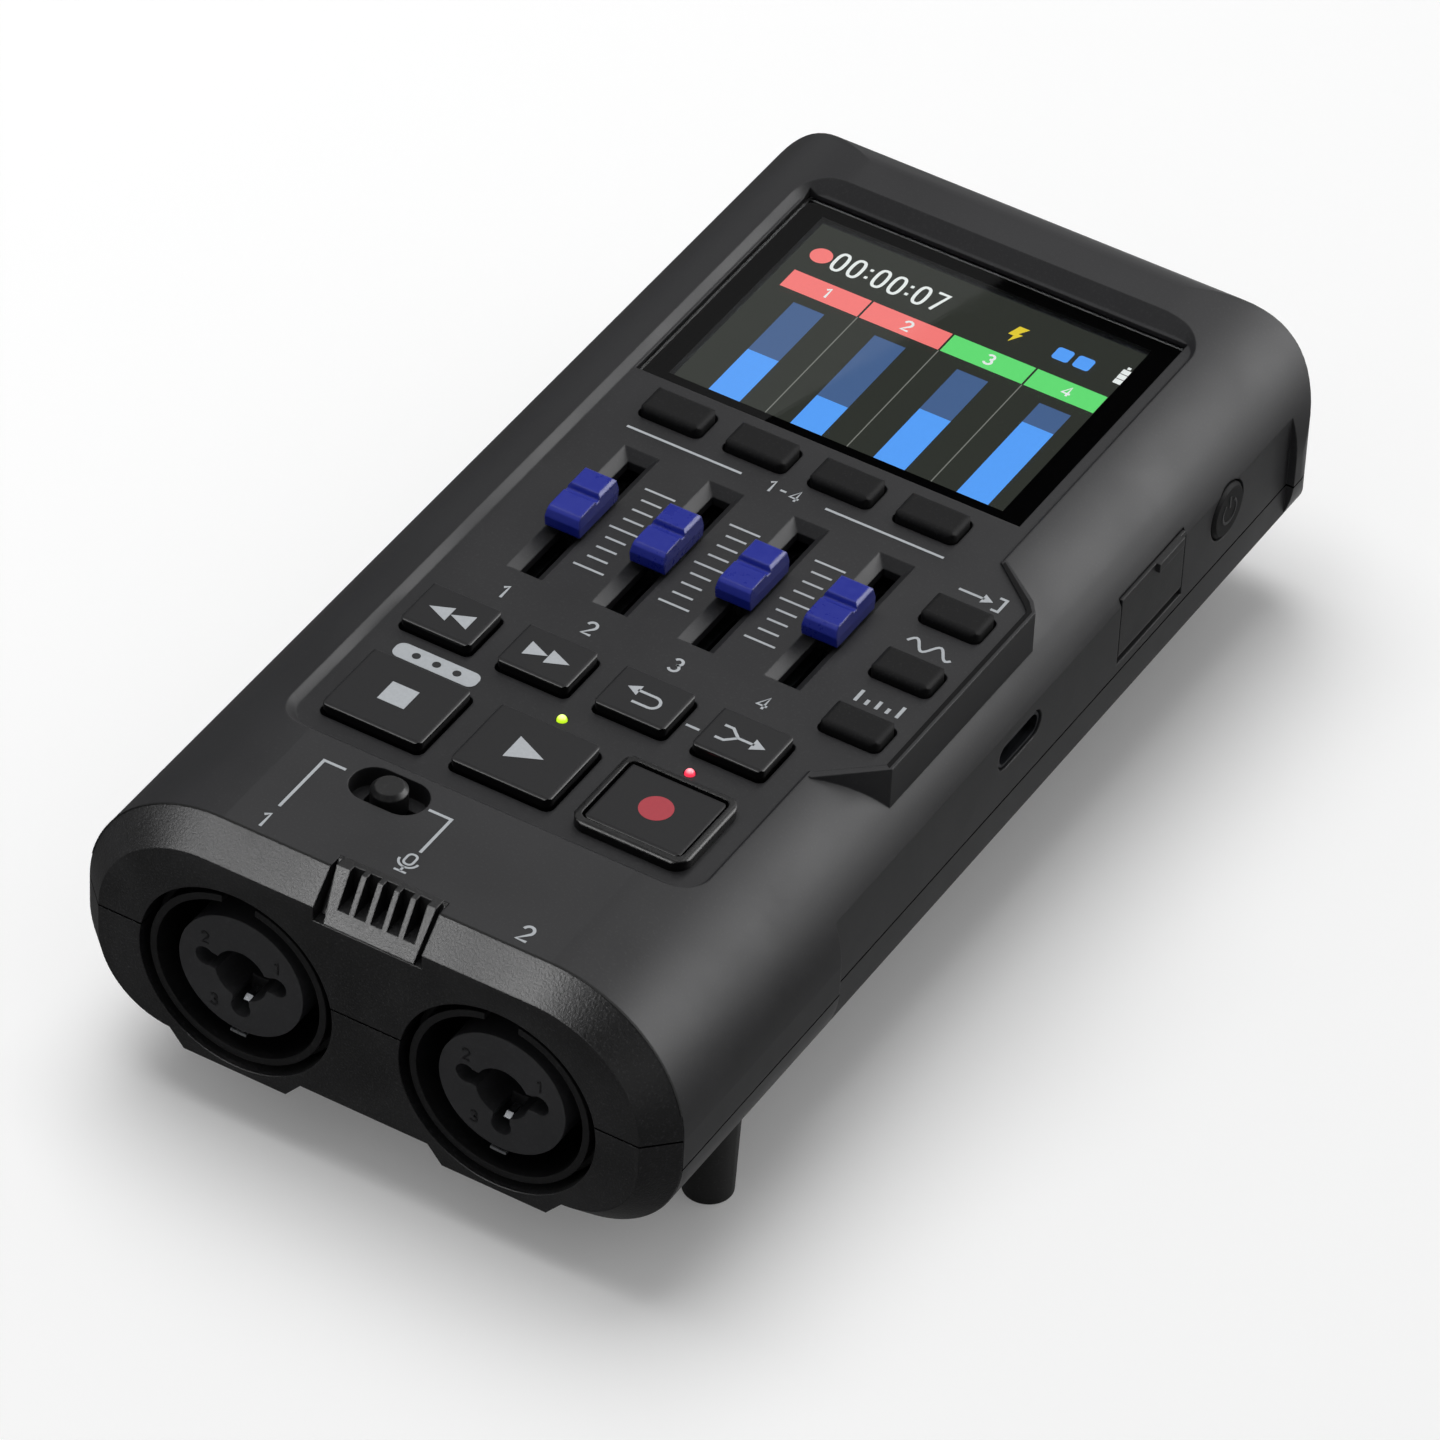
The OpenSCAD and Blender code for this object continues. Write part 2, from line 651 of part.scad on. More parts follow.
module bottom_shell() {
    color("#333335") difference() {
        union() {
            difference() {
                case_solid(y_seam + gap_fit, 0, zt + 1);
                case_solid(yf, wall, zu);
                side_facet();
                box(-hw - 1, hw + 1, yf - 1, yr + 1, z_split - gap_fit / 2, zt + 1);
            }
            intersection() {
                case_solid(y_seam + 1, 0.6, zt + 1);
                union() {
                    difference() {
                        box(-bay_x - bay_wall, bay_x + bay_wall, bay_front - bay_end, bay_rear + bay_end,
                            zb, board_bot);
                        box(-bay_x, bay_x, bay_front, bay_rear, zb - 1, board_bot + 1);
                        // room for the serial port beside the bay
                        translate([0, yf + port_y, port_z]) {
                            box(port_x - 1.3, hw, -port_w / 2 - 0.7, port_w / 2 + 0.7,
                                -port_h / 2 - 0.5, port_h);
                        }
                    }
                    for (p = case_pos) {
                        post(p[0], p[1], zb, board_bot, boss_r + 0.3);
                    }
                    for (p = post_pos) {
                        post(p[0], p[1], zb, board_bot, 2.4);
                    }
                    for (s = [-1, 1]) {
                        translate([s * (knuckle_x + 1.7), 0, 0]) {
                            box(-1.4, 1.4, door_y1 + 0.35, hinge_y + 2, zb, hinge_z + 2);
                        }
                    }
                }
            }
        }
        for (p = case_pos) {
            post(p[0], p[1], zb - 1, zb + 5, 2.3);
            post(p[0], p[1], zb, zt, case_r + 0.15);
        }
        for (p = post_pos) {
            post(p[0], p[1], board_bot - 8, board_bot + 1, screw_r + gap_run);
        }
        // battery opening with the hinge slot behind it
        box(-door_x - 0.2, door_x + 0.2, door_y0 - 0.2, door_ear + 0.5, zb - 1, zb + wall + 1.5);
        box(-knuckle_x - 0.2, knuckle_x + 0.2, door_ear - 1, hinge_y + 2.6,
            zb - 1, hinge_z + knuckle_r + 0.4);
        rod_x(hinge_y, hinge_z, -knuckle_x - 2.7, knuckle_x + 2.7, hinge_r + 0.02);
    }
}
module front_bezel_upper() {
    color("#2b2b2d") difference() {
        bezel_body();
        box(-hw - 1, hw + 1, yf - 1, yr, -1, bezel_split + gap_fit / 2);
    }
}
module front_bezel_lower() {
    color("#2b2b2d") difference() {
        bezel_body();
        box(-hw - 1, hw + 1, yf - 1, yr, bezel_split - gap_fit / 2, zt + 1);
    }
}
module mic_grille() {
    color("#3c3c3e") difference() {
        mic_block(0);
        for (i = [-2:2]) {
            translate([panel_x - 0.4 + i * 2.2, 0, 0]) {
                box(-0.65, 0.65, yf - 1, y_seam + 1, zt - 3.6, zt + 1);
            }
        }
        rod_y(panel_x - 0.4, zt - 6.9, y_seam, y_seam + 3, 1);
    }
}
module mic_capsule() {
    color("#b9bcc0") rod_y(panel_x - 0.4, zt - 6.8, y_seam + 1.8 + eps, y_seam + 4.3, 2.4);
}

// Display
module display_window() {
    color("#08080a") along_z(glass_bot + eps, glass_top) {
        translate([glass_x, glass_y]) square([glass_w, glass_d], center = true);
    }
}
module display_module() {
    color("#55585c") along_z(zu - lcd_t, zu - eps) {
        translate([glass_x, glass_y]) square([lcd_w, lcd_d], center = true);
    }
}

// Keys
module track_key_1() { rubber_key(fader_x[0], track_y, track_w); }
module track_key_2() { rubber_key(fader_x[1], track_y, track_w); }
module track_key_3() { rubber_key(fader_x[2], track_y, track_w); }
module track_key_4() { rubber_key(fader_x[3], track_y, track_w); }
module side_key_1() { rubber_key(side_x, side_y[0], side_w); }
module side_key_2() { rubber_key(side_x, side_y[1], side_w); }
module side_key_3() { rubber_key(side_x, side_y[2], side_w); }
module rewind_key() { small_key(0); }
module forward_key() { small_key(1); }
module undo_key() { small_key(2); }
module mix_key() { small_key(3); }
module stop_key() { large_key(0); }
module play_key() { large_key(1); }
module record_key() {
    color("#2b2b2d") soft_key(large_x[2], large_y, record_w, record_d, record_h, 1, 0.45);
}
module record_guard() {
    w = record_w + 2 * gap_key + 2 * guard_wall;
    d = record_d + 2 * gap_key + 2 * guard_wall;
    color("#161617") translate([large_x[2], large_y, 0]) difference() {
        intersection() {
            along_z(zp + eps, zp + guard_h) round_rect(w, d, 2);
            translate([0, 0, zp]) along_y(-d, d) round_top(w, guard_h, 0.5);
            translate([0, 0, zp]) along_x(-w, w) round_top(d, guard_h, 0.5);
        }
        along_z(zp - 1, zp + guard_h + 1) round_rect(record_w + 2 * gap_key, record_d + 2 * gap_key, 1);
    }
}

// Faders
module fader_cap(x) {
    l = cap_l / 2;
    w = cap_w / 2;
    h = cap_h;
    color("#2d3096") translate([x, cap_y, zp + cap_gap]) difference() {
        intersection() {
            along_x(-cap_w, cap_w) {
                polygon([[-l + 0.2, 0], [l - 0.2, 0], [l, h * 0.5], [l - 0.3, h - 0.3], [l - 0.6, h],
                    [0.5, h], [0.3, h - 0.7], [-0.4, h - 0.7], [-0.5, h - 0.35], [-l + 0.7, h - 0.45],
                    [-l + 0.3, h - 0.8], [-l, h * 0.45]]);
            }
            along_y(-cap_l, cap_l) {
                polygon([[-w, 0], [w, 0], [w, h * 0.4], [w - 0.2, h - 0.4], [w - 0.5, h],
                    [-w + 0.5, h], [-w + 0.2, h - 0.4], [-w, h * 0.4]]);
            }
        }
        translate([0, 0, 0.6]) cube([lever_w + 0.06, lever_l + 0.06, 2.6], center = true);
    }
}
module fader_lever(x) {
    color("#9a9ca0") box(x - lever_w / 2, x + lever_w / 2, cap_y - lever_l / 2, cap_y + lever_l / 2,
        ctl_bot - pot_h + 1.6, zp + cap_gap + 1.85);
}
module fader_cap_1() { fader_cap(fader_x[0]); }
module fader_cap_2() { fader_cap(fader_x[1]); }
module fader_cap_3() { fader_cap(fader_x[2]); }
module fader_cap_4() { fader_cap(fader_x[3]); }
module fader_lever_1() { fader_lever(fader_x[0]); }
module fader_lever_2() { fader_lever(fader_x[1]); }
module fader_lever_3() { fader_lever(fader_x[2]); }
module fader_lever_4() { fader_lever(fader_x[3]); }
module fader_bodies() {
    color("#6f7276") for (x = fader_x) {
        translate([x, slot_y, ctl_bot]) difference() {
            box(-pot_w / 2, pot_w / 2, -pot_l / 2, pot_l / 2, -pot_h, -eps);
            box(-slot_w / 2, slot_w / 2, -slot_l / 2, slot_l / 2, -pot_h + 1, 1);
        }
    }
}

// Input slide switch
module input_knob() {
    r = knob_d / 2;
    color("#1c1c1d") translate([knob_rest, knob_y, 0]) {
        post(0, 0, knob_floor + 0.3, zt + 0.3, r);
        translate([0, 0, zt + 0.3]) cylinder(r1 = r, r2 = r - 0.5, h = 0.5);
        box(-stem_w / 2, stem_w / 2, -stem_w / 2, stem_w / 2, zu - 1.2, knob_floor + 0.4);
    }
}
module input_switch() {
    color("#8d9094") difference() {
        translate([knob_x, knob_y, 0]) box(-5, 5, -2.6, 2.6, ctl_top + eps, zu - 0.15);
        translate([knob_x, knob_y, zu]) {
            cube([knob_travel + stem_w + 0.6, stem_w + 2 * gap_key, 3], center = true);
        }
    }
}

// Lights
module light(p) {
    post(p[0], p[1], ctl_top + eps, zp - 0.1, led_r);
    translate([p[0], p[1], zp - 0.1]) sphere(r = led_r);
}
module play_led() { color("#c8e63c") light(led_pos[0]); }
module record_led() { color("#e63c50") light(led_pos[1]); }

// Front jacks
module jack_housing(s) {
    color("#1a1a1b") translate([s * jack_x, 0, zj]) difference() {
        union() {
            rod_y(0, 0, ring_front, yf + 4, ring_r - 0.75);
            rod_y(0, 0, yf + 3.2, yf + 6, ring_r);
            rod_y(0, 0, yf + 5, jack_rear, barrel_r);
        }
        rod_y(0, 0, yf, yf + 15, groove_r);
        rod_y(0, 0, yf, jack_rear - 1.5, insert_r + gap_run);
        // key way for a latching plug at the top
        box(-2.1, 2.1, yf, yf + 4.5, groove_r - 1.5, ring_r + 1);
        for (p = [[0, 5], [-5, -2], [5, -2]]) {
            rod_y(p[0], p[1], jack_rear - 3, jack_rear + 1, 0.6);
        }
    }
}
module jack_insert(s) {
    color("#222224") translate([s * jack_x, 0, zj]) difference() {
        rod_y(0, 0, insert_front, jack_rear - 1.5 - eps, insert_r);
        rod_y(0, 0, yf, jack_rear - 2.5, plug_r);
        // openings for the three contacts of a round plug
        for (a = [8, 172, 270]) {
            rotate([0, -a, 0]) {
                rod_y(4.6, 0, yf, insert_front + 4, 1.25);
                box(0, 4.6, yf, insert_front + 4, -1.05, 1.05);
            }
        }
    }
}
module jack_housing_left() { jack_housing(-1); }
module jack_housing_right() { jack_housing(1); }
module jack_insert_left() { jack_insert(-1); }
module jack_insert_right() { jack_insert(1); }
module jack_pins() {
    color("#c9b26a") for (s = [-1, 1]) {
        for (p = [[0, 5], [-5, -2], [5, -2]]) {
            rod_y(s * jack_x + p[0], zj + p[1], jack_rear - 1.4, jack_rear + jack_board_t + 0.8, 0.5);
        }
    }
}

// Boards
module jack_board() {
    color("#23462f") difference() {
        box(-jack_x - 6.9, jack_x + 6.9, jack_rear + 0.1, jack_rear + 0.1 + jack_board_t, zj - 9, zj + 9);
        for (s = [-1, 1]) {
            for (p = [[0, 5], [-5, -2], [5, -2]]) {
                rod_y(s * jack_x + p[0], zj + p[1], jack_rear - 1, jack_rear + 3, 0.55);
            }
        }
    }
}
module main_board() {
    color("#1f4a33") difference() {
        box(-board_x, board_x, board_y0, board_y1, board_bot + eps, board_top);
        for (p = post_pos) {
            post(p[0], p[1], board_bot - 1, board_top + 1, screw_r + 0.1);
        }
        // edge cut for the serial port and for the power key
        translate([0, yf + port_y, 0]) box(port_x - 0.3, hw, -port_w / 2 - 0.4, port_w / 2 + 0.4, 0, zt);
        box(power_flange - 3.2, hw, power_y - 5, power_y + 5, 0, zt);
    }
}
module control_board() {
    color("#1f4a33") difference() {
        union() {
            box(ctl_x0 - 2, ctl_x1 + 1.2, ctl_y0, ctl_y1, ctl_bot, ctl_top - eps);
            box(ctl_x1 - 1, side_x + side_reach - 0.4, side_y0 + 0.4, side_y1 - 0.4, ctl_bot, ctl_top - eps);
            box(knob_x - 6, knob_x + 6, knob_y - 3.6, ctl_y0 + 1, ctl_bot, ctl_top - eps);
        }
        for (p = case_pos) {
            post(p[0], p[1], 0, zt, boss_r + 0.4);
        }
        for (p = ctl_pos) {
            post(p[0], p[1], 0, zt, screw_r + 0.1);
        }
        for (x = fader_x) {
            box(x - slot_w / 2, x + slot_w / 2, slot_y0, slot_y1, 0, zt);
        }
    }
}
module key_switch(x, y, w, d) {
    translate([x, y, 0]) box(-w / 2, w / 2, -d / 2, d / 2, ctl_top, ctl_top + switch_h);
}
module key_switches() {
    color("#4a4c50") {
        for (x = fader_x) {
            key_switch(x, track_y, 4, 3.2);
        }
        for (y = side_y) {
            key_switch(side_x, y, 4, 3.2);
        }
        for (x = small_x) {
            key_switch(x, small_y, 4.4, 4.4);
        }
        for (i = [0:2]) {
            key_switch(large_x[i], large_y, 5.2, 5.2);
        }
        translate([0, power_y, power_z]) {
            box(power_flange - 3.1, power_flange - key_travel - 0.1, -2.4, 2.4, -2.4, 2.4);
        }
    }
}

// Right side
module power_key() {
    color("#242425") {
        rod_x(power_y, power_z, power_flange, power_flange + 0.65, power_r + 0.7);
        rod_x(power_y, power_z, power_flange + 0.5, power_out - 0.4, power_r);
        translate([power_out - 0.4, power_y, power_z]) rotate([0, 90, 0]) {
            cylinder(r1 = power_r, r2 = power_r - 0.4, h = 0.4);
        }
    }
}
module card_socket() {
    color("#b4b7ba") translate([0, card_y, 0]) difference() {
        box(card_hinge_x - card_l, card_hinge_x - 1.8, -7, 7, board_top + eps, board_top + 2.4);
        box(card_hinge_x - card_l + 2, card_hinge_x + 1, -6, 6, board_top + 0.6, board_top + 1.8);
    }
}
module card_door() {
    l = card_w / 2;
    color("#2f2f31") translate([0, card_y, 0]) {
        box(card_hinge_x - 0.1, x_facet, -l, l, card_hinge_z, card_hinge_z + card_h);
        rod_y(card_hinge_x, card_hinge_z, -l, l, card_hinge_r);
        rod_y(card_hinge_x, card_hinge_z, -l - 1.1, l + 1.1, card_pin_r);
        // finger lip at the free edge
        box(x_facet - 0.5, x_facet + 0.5, 0.5, l - 1, card_hinge_z + card_h - 1.2, card_hinge_z + card_h);
    }
}
module serial_port() {
    color("#aeb1b5") translate([0, yf + port_y, port_z]) {
        difference() {
            along_x(port_x, x_facet - 0.2) pill(port_w, port_h);
            along_x(port_x + 1.2, x_facet + 1) pill(port_w - 0.7, port_h - 0.7);
        }
        box(port_x + 0.7, x_facet - 1, -3.3, 3.3, -0.35, 0.35);
    }
}

// Battery bay
module battery_door() {
    color("#333335") difference() {
        union() {
            intersection() {
                case_solid(y_seam, 0, zt + 1);
                union() {
                    box(-door_x, door_x, door_y0, door_ear, zb - 1, zb + wall);
                    box(-knuckle_x, knuckle_x, door_ear - 1, hinge_y, zb - 1, zb + wall);
                }
            }
            rod_x(hinge_y, hinge_z, -knuckle_x, knuckle_x, knuckle_r);
        }
        rod_x(hinge_y, hinge_z, -knuckle_x - 1, knuckle_x + 1, hinge_r + gap_run);
        // finger notch at the free edge
        translate([0, door_y0, zb]) rotate([0, 90, 0]) cylinder(r = 0.8, h = 14, center = true);
    }
}
module door_pin() {
    color("#b4b7ba") rod_x(hinge_y, hinge_z, -knuckle_x - 2.6, knuckle_x + 2.6, hinge_r);
}
module battery_cells() {
    color("#7d8a94") for (i = [0:3]) {
        x = (i - 1.5) * cell_pitch;
        rod_y(x, cell_z, cell_y0, cell_y0 + cell_l - 1.4, cell_r);
        rod_y(x, cell_z, cell_y0 + cell_l - 2, cell_y0 + cell_l, 2.7);
    }
}
module battery_contacts() {
    w = contact_w / 2;
    color("#c4c6c8") for (i = [0:3]) {
        translate([(i - 1.5) * cell_pitch, 0, cell_z]) {
            difference() {
                union() {
                    box(-w, w, bay_front + 0.05, bay_front + 0.6, -4, 4);
                    rod_y(0, 0, bay_front + 0.5, cell_y0 - 0.05, 3.2);
                }
                rod_y(0, 0, bay_front + 0.6, cell_y0 + 1, 2.5);
            }
            box(-w, w, cell_y0 + cell_l + 0.05, bay_rear - 0.05, -4, 4);
        }
    }
}

// Left side
module phones_jack() {
    color("#1b1b1c") translate([0, phones_y, 0]) difference() {
        union() {
            box(-hw + wall + 0.8, -hw + 15, -3.2, 3.2, phones_z - 2.8, board_bot - eps);
            rod_x(0, phones_z, -hw + 0.3, -hw + wall + 1, phones_nose_r);
        }
        rod_x(0, phones_z, -hw - 1, -hw + 14, phones_r);
    }
}
module volume_wheel() {
    color("#1e1e1f") translate([wheel_x, wheel_y, wheel_z]) difference() {
        cylinder(r = wheel_r, h = wheel_t);
        translate([0, 0, -1]) cylinder(r = wheel_shaft_r + gap_run, h = wheel_t + 2);
        for (a = [0:15:345]) {
            rotate([0, 0, a]) translate([wheel_r + 0.25, 0, -1]) cylinder(r = 0.5, h = wheel_t + 2);
        }
    }
}
module volume_encoder() {
    color("#8d9094") translate([wheel_x, wheel_y, 0]) {
        post(0, 0, wheel_z + wheel_t + 0.3, board_bot - eps, 4.4);
        post(0, 0, wheel_z, wheel_z + wheel_t + 0.5, wheel_shaft_r);
        post(0, 0, wheel_z - 0.9, wheel_z - 0.2, 2.4);
        post(0, 0, wheel_z - 0.5, wheel_z + 0.5, wheel_shaft_r);
    }
}

// Fixings
module case_screws() {
    color("#55575a") for (p = case_pos) {
        difference() {
            union() {
                post(p[0], p[1], zb + 3, zb + 5 - eps, 2.1);
                post(p[0], p[1], zb + 4, zu - 3, case_r);
            }
            for (a = [0, 90]) {
                translate([p[0], p[1], zb + 3]) rotate([0, 0, a]) cube([2.2, 0.5, 1.4], center = true);
            }
        }
    }
}
module board_screws() {
    color("#b4b7ba") {
        for (p = post_pos) {
            post(p[0], p[1], board_bot - 7, board_top + 0.2, screw_r);
            post(p[0], p[1], board_top + eps, board_top + 1, screw_head_r);
        }
        for (p = ctl_pos) {
            post(p[0], p[1], ctl_bot - 0.2, zu - 0.3, screw_r);
            post(p[0], p[1], ctl_bot - 1, ctl_bot - eps, screw_head_r);
        }
    }
}
module rubber_feet() {
    color("#19191a") difference() {
        for (s = [-1, 1]) {
            for (p = foot_pos) {
                translate([s * p[0], p[1], 0]) cylinder(r1 = foot_r - 0.4, r2 = foot_r, h = zb + 6);
            }
        }
        case_solid(yf, -0.02, zt + 1);
    }
}

top_shell();
bottom_shell();
front_bezel_upper();
front_bezel_lower();
mic_grille();
mic_capsule();
display_window();
display_module();
track_key_1();
track_key_2();
track_key_3();
track_key_4();
side_key_1();
side_key_2();
side_key_3();
rewind_key();
forward_key();
undo_key();
mix_key();
stop_key();
play_key();
record_key();
record_guard();
fader_cap_1();
fader_cap_2();
fader_cap_3();
fader_cap_4();
fader_lever_1();
fader_lever_2();
fader_lever_3();
fader_lever_4();
fader_bodies();
input_knob();
input_switch();
power_key();
play_led();
record_led();
jack_housing_left();
jack_housing_right();
jack_insert_left();
jack_insert_right();
jack_pins();
jack_board();
main_board();
control_board();
key_switches();
card_socket();
card_door();
serial_port();
battery_door();
door_pin();
battery_cells();
battery_contacts();
phones_jack();
volume_wheel();
volume_encoder();
case_screws();
board_screws();
rubber_feet();
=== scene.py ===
import bpy
import bmesh
from math import cos, hypot, radians, sin
from mathutils import Matrix, Vector


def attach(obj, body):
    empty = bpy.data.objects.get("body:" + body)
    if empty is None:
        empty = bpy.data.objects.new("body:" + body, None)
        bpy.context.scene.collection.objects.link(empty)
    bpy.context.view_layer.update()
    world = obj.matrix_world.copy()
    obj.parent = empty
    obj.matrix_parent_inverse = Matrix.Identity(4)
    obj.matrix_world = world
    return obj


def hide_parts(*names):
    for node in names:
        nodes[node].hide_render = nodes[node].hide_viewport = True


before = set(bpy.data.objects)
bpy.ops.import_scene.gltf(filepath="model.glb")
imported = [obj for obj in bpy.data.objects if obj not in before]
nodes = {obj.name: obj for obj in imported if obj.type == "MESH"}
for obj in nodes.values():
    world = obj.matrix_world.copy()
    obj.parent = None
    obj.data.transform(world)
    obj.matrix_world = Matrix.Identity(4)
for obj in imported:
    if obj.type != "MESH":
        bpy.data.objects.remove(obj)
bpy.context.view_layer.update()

mm = 0.001
scene = bpy.context.scene
scene.view_settings.view_transform = "Standard"
print("frame loaded,", len(nodes), "nodes")


# Small tools

def hexToLinear(code):
    parts = [int(code[i:i + 2], 16) / 255 for i in (1, 3, 5)]
    return tuple(p / 12.92 if p <= 0.04045 else ((p + 0.055) / 1.055) ** 2.4 for p in parts) + (1.0,)


def addNode(tree, kind, settings=None, inputs=None):
    # a node with its settings, and its sockets given a value or a link
    node = tree.nodes.new(kind)
    for key, value in (settings or {}).items():
        setattr(node, key, value)
    for key, value in (inputs or {}).items():
        if isinstance(value, bpy.types.NodeSocket):
            tree.links.new(value, node.inputs[key])
        else:
            node.inputs[key].default_value = value
    return node


def startMaterial(name):
    material = bpy.data.materials.new(name)
    material.use_nodes = True
    tree = material.node_tree
    tree.nodes.clear()
    output = addNode(tree, "ShaderNodeOutputMaterial")
    place = addNode(tree, "ShaderNodeTexCoord").outputs["Object"]
    return material, tree, output, place


def mixTone(tree, part, first, second):
    # two colours mixed, each a hex code or a link
    ends = [hexToLinear(tone) if isinstance(tone, str) else tone for tone in (first, second)]
    return addNode(tree, "ShaderNodeMix", {"data_type": "RGBA"}, {0: part, 6: ends[0], 7: ends[1]}).outputs[2]


def stretch(tree, value, span=(0.0, 1.0), to=(0.0, 1.0), **settings):
    # one value mapped from its span to another and held at the ends
    return addNode(tree, "ShaderNodeMapRange", settings,
                   {"Value": value, "From Min": span[0], "From Max": span[1],
                    "To Min": to[0], "To Max": to[1]}).outputs["Result"]


def closeMaterial(material, tree, output, inputs):
    skin = addNode(tree, "ShaderNodeBsdfPrincipled", None, inputs)
    tree.links.new(skin.outputs[0], output.inputs[0])
    return material


def dress(material, *names):
    for name in names:
        node = nodes[name]
        node.data.materials.clear()
        node.data.materials.append(material)


def arcPath(cx, cy, rx, ry, start, end, steps):
    turns = [radians(start + (end - start) * i / steps) for i in range(steps + 1)]
    return [(cx + rx * cos(a), cy + ry * sin(a)) for a in turns]


def discOutline(cx, cy, r, steps=28):
    return arcPath(cx, cy, r, r, 0, 360 - 360 / steps, steps - 1)


def roundOutline(cx, cy, w, h, r):
    outline = []
    for sx, sy, start in ((1, 1, 0), (-1, 1, 90), (-1, -1, 180), (1, -1, 270)):
        outline += arcPath(cx + sx * (w / 2 - r), cy + sy * (h / 2 - r), r, r, start, start + 90, 6)
    return outline


def addPlate(bm, outline, low, high):
    # closed flat plate over one outline, in mm
    bottom = [bm.verts.new((x, y, low)) for x, y in outline]
    top = [bm.verts.new((x, y, high)) for x, y in outline]
    bm.faces.new(top)
    bm.faces.new(bottom[::-1])
    for i in range(len(outline)):
        j = (i + 1) % len(outline)
        bm.faces.new((bottom[i], bottom[j], top[j], top[i]))


def addBand(bm, inner, outer, low, high):
    # closed flat ring between two outlines with the same number of points
    rows = [[bm.verts.new((x, y, z)) for x, y in line]
            for line, z in ((inner, low), (outer, low), (outer, high), (inner, high))]
    count = len(inner)
    for i in range(count):
        j = (i + 1) % count
        for k in range(4):
            a, b = rows[k], rows[(k + 1) % 4]
            bm.faces.new((a[i], a[j], b[j], b[i]))


def addStroke(bm, path, width, low, high, closed=False):
    # a drawn line of even width with mitred corners
    count = len(path)
    left, right = [], []
    for i, (x, y) in enumerate(path):
        sides = []
        if closed or i > 0:
            sides.append((x - path[i - 1][0], y - path[i - 1][1]))
        if closed or i < count - 1:
            after = path[(i + 1) % count]
            sides.append((after[0] - x, after[1] - y))
        normals = [(-dy / hypot(dx, dy), dx / hypot(dx, dy)) for dx, dy in sides]
        nx = sum(n[0] for n in normals) / len(normals)
        ny = sum(n[1] for n in normals) / len(normals)
        reach = min(2.2, 1 / max(0.05, nx * nx + ny * ny)) * width / 2
        left.append((x + nx * reach, y + ny * reach))
        right.append((x - nx * reach, y - ny * reach))
    if closed:
        addBand(bm, left, right, low, high)
        return
    rows = [[bm.verts.new((x, y, z)) for x, y in line]
            for line, z in ((left, low), (right, low), (right, high), (left, high))]
    for i in range(count - 1):
        for k in range(4):
            a, b = rows[k], rows[(k + 1) % 4]
            bm.faces.new((a[i], a[i + 1], b[i + 1], b[i]))
    bm.faces.new([row[0] for row in rows])
    bm.faces.new([row[-1] for row in rows[::-1]])


# numerals in a box one high, about 0.6 wide; each line is a path and whether it closes
zeroLoop = [(0.3 + 0.26 * (1 if cos(a) > 0 else -1) * abs(cos(a)) ** 0.75,
             0.5 + 0.5 * (1 if sin(a) > 0 else -1) * abs(sin(a)) ** 0.75)
            for a in [radians(i * 15 + 7.5) for i in range(24)]]
digitLines = {
    "0": [(zeroLoop, True)],
    "1": [([(0.1, 0.8), (0.36, 1.0), (0.36, 0.0)], False)],
    "2": [(arcPath(0.3, 0.71, 0.27, 0.29, 172, -38, 12) + [(0.04, 0.0), (0.6, 0.0)], False)],
    "3": [(arcPath(0.29, 0.75, 0.24, 0.25, 155, -85, 10), False),
          (arcPath(0.29, 0.26, 0.28, 0.27, 85, -155, 10), False)],
    "4": [([(0.44, 0.0), (0.44, 1.0), (0.02, 0.27), (0.62, 0.27)], False)],
    "7": [([(0.02, 1.0), (0.58, 1.0), (0.22, 0.0)], False)],
    "-": [([(0.1, 0.48), (0.5, 0.48)], False)],
    ":": [([(0.3, 0.2), (0.3, 0.33)], False), ([(0.3, 0.67), (0.3, 0.8)], False)],
}


def addDigits(bm, digits, cx, cy, height, weight, low, high, wide=1.0, step=0.82):
    # plain stroke numerals, centred on a point; a colon takes half a step
    steps = [step * height * (0.5 if digit == ":" else 1.0) for digit in digits]
    x = cx - sum(steps) / 2
    for digit, along in zip(digits, steps):
        middle = x + along / 2
        for path, closed in digitLines[digit]:
            points = [(middle + (px - 0.3) * wide * height, cy + (py - 0.5) * height) for px, py in path]
            addStroke(bm, points, weight, low, high, closed)
        x += along


def faceMatrix(origin, right, up):
    # flat drawing space to the frame, all in mm
    u, v = Vector(right), Vector(up)
    w = u.cross(v)
    m = Matrix((u, v, w)).transposed().to_4x4()
    m.translation = Vector(origin)
    return m


def finishPiece(name, bm, material, body, place=None):
    bmesh.ops.recalc_face_normals(bm, faces=bm.faces[:])
    if place:
        bm.transform(place)
    bm.transform(Matrix.Diagonal((mm, mm, mm, 1)))
    mesh = bpy.data.meshes.new(name)
    bm.to_mesh(mesh)
    bm.free()
    mesh.materials.append(material)
    piece = bpy.data.objects.new(name, mesh)
    scene.collection.objects.link(piece)
    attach(piece, body)
    return piece


# Camera, from the fit to the photograph's straight edges

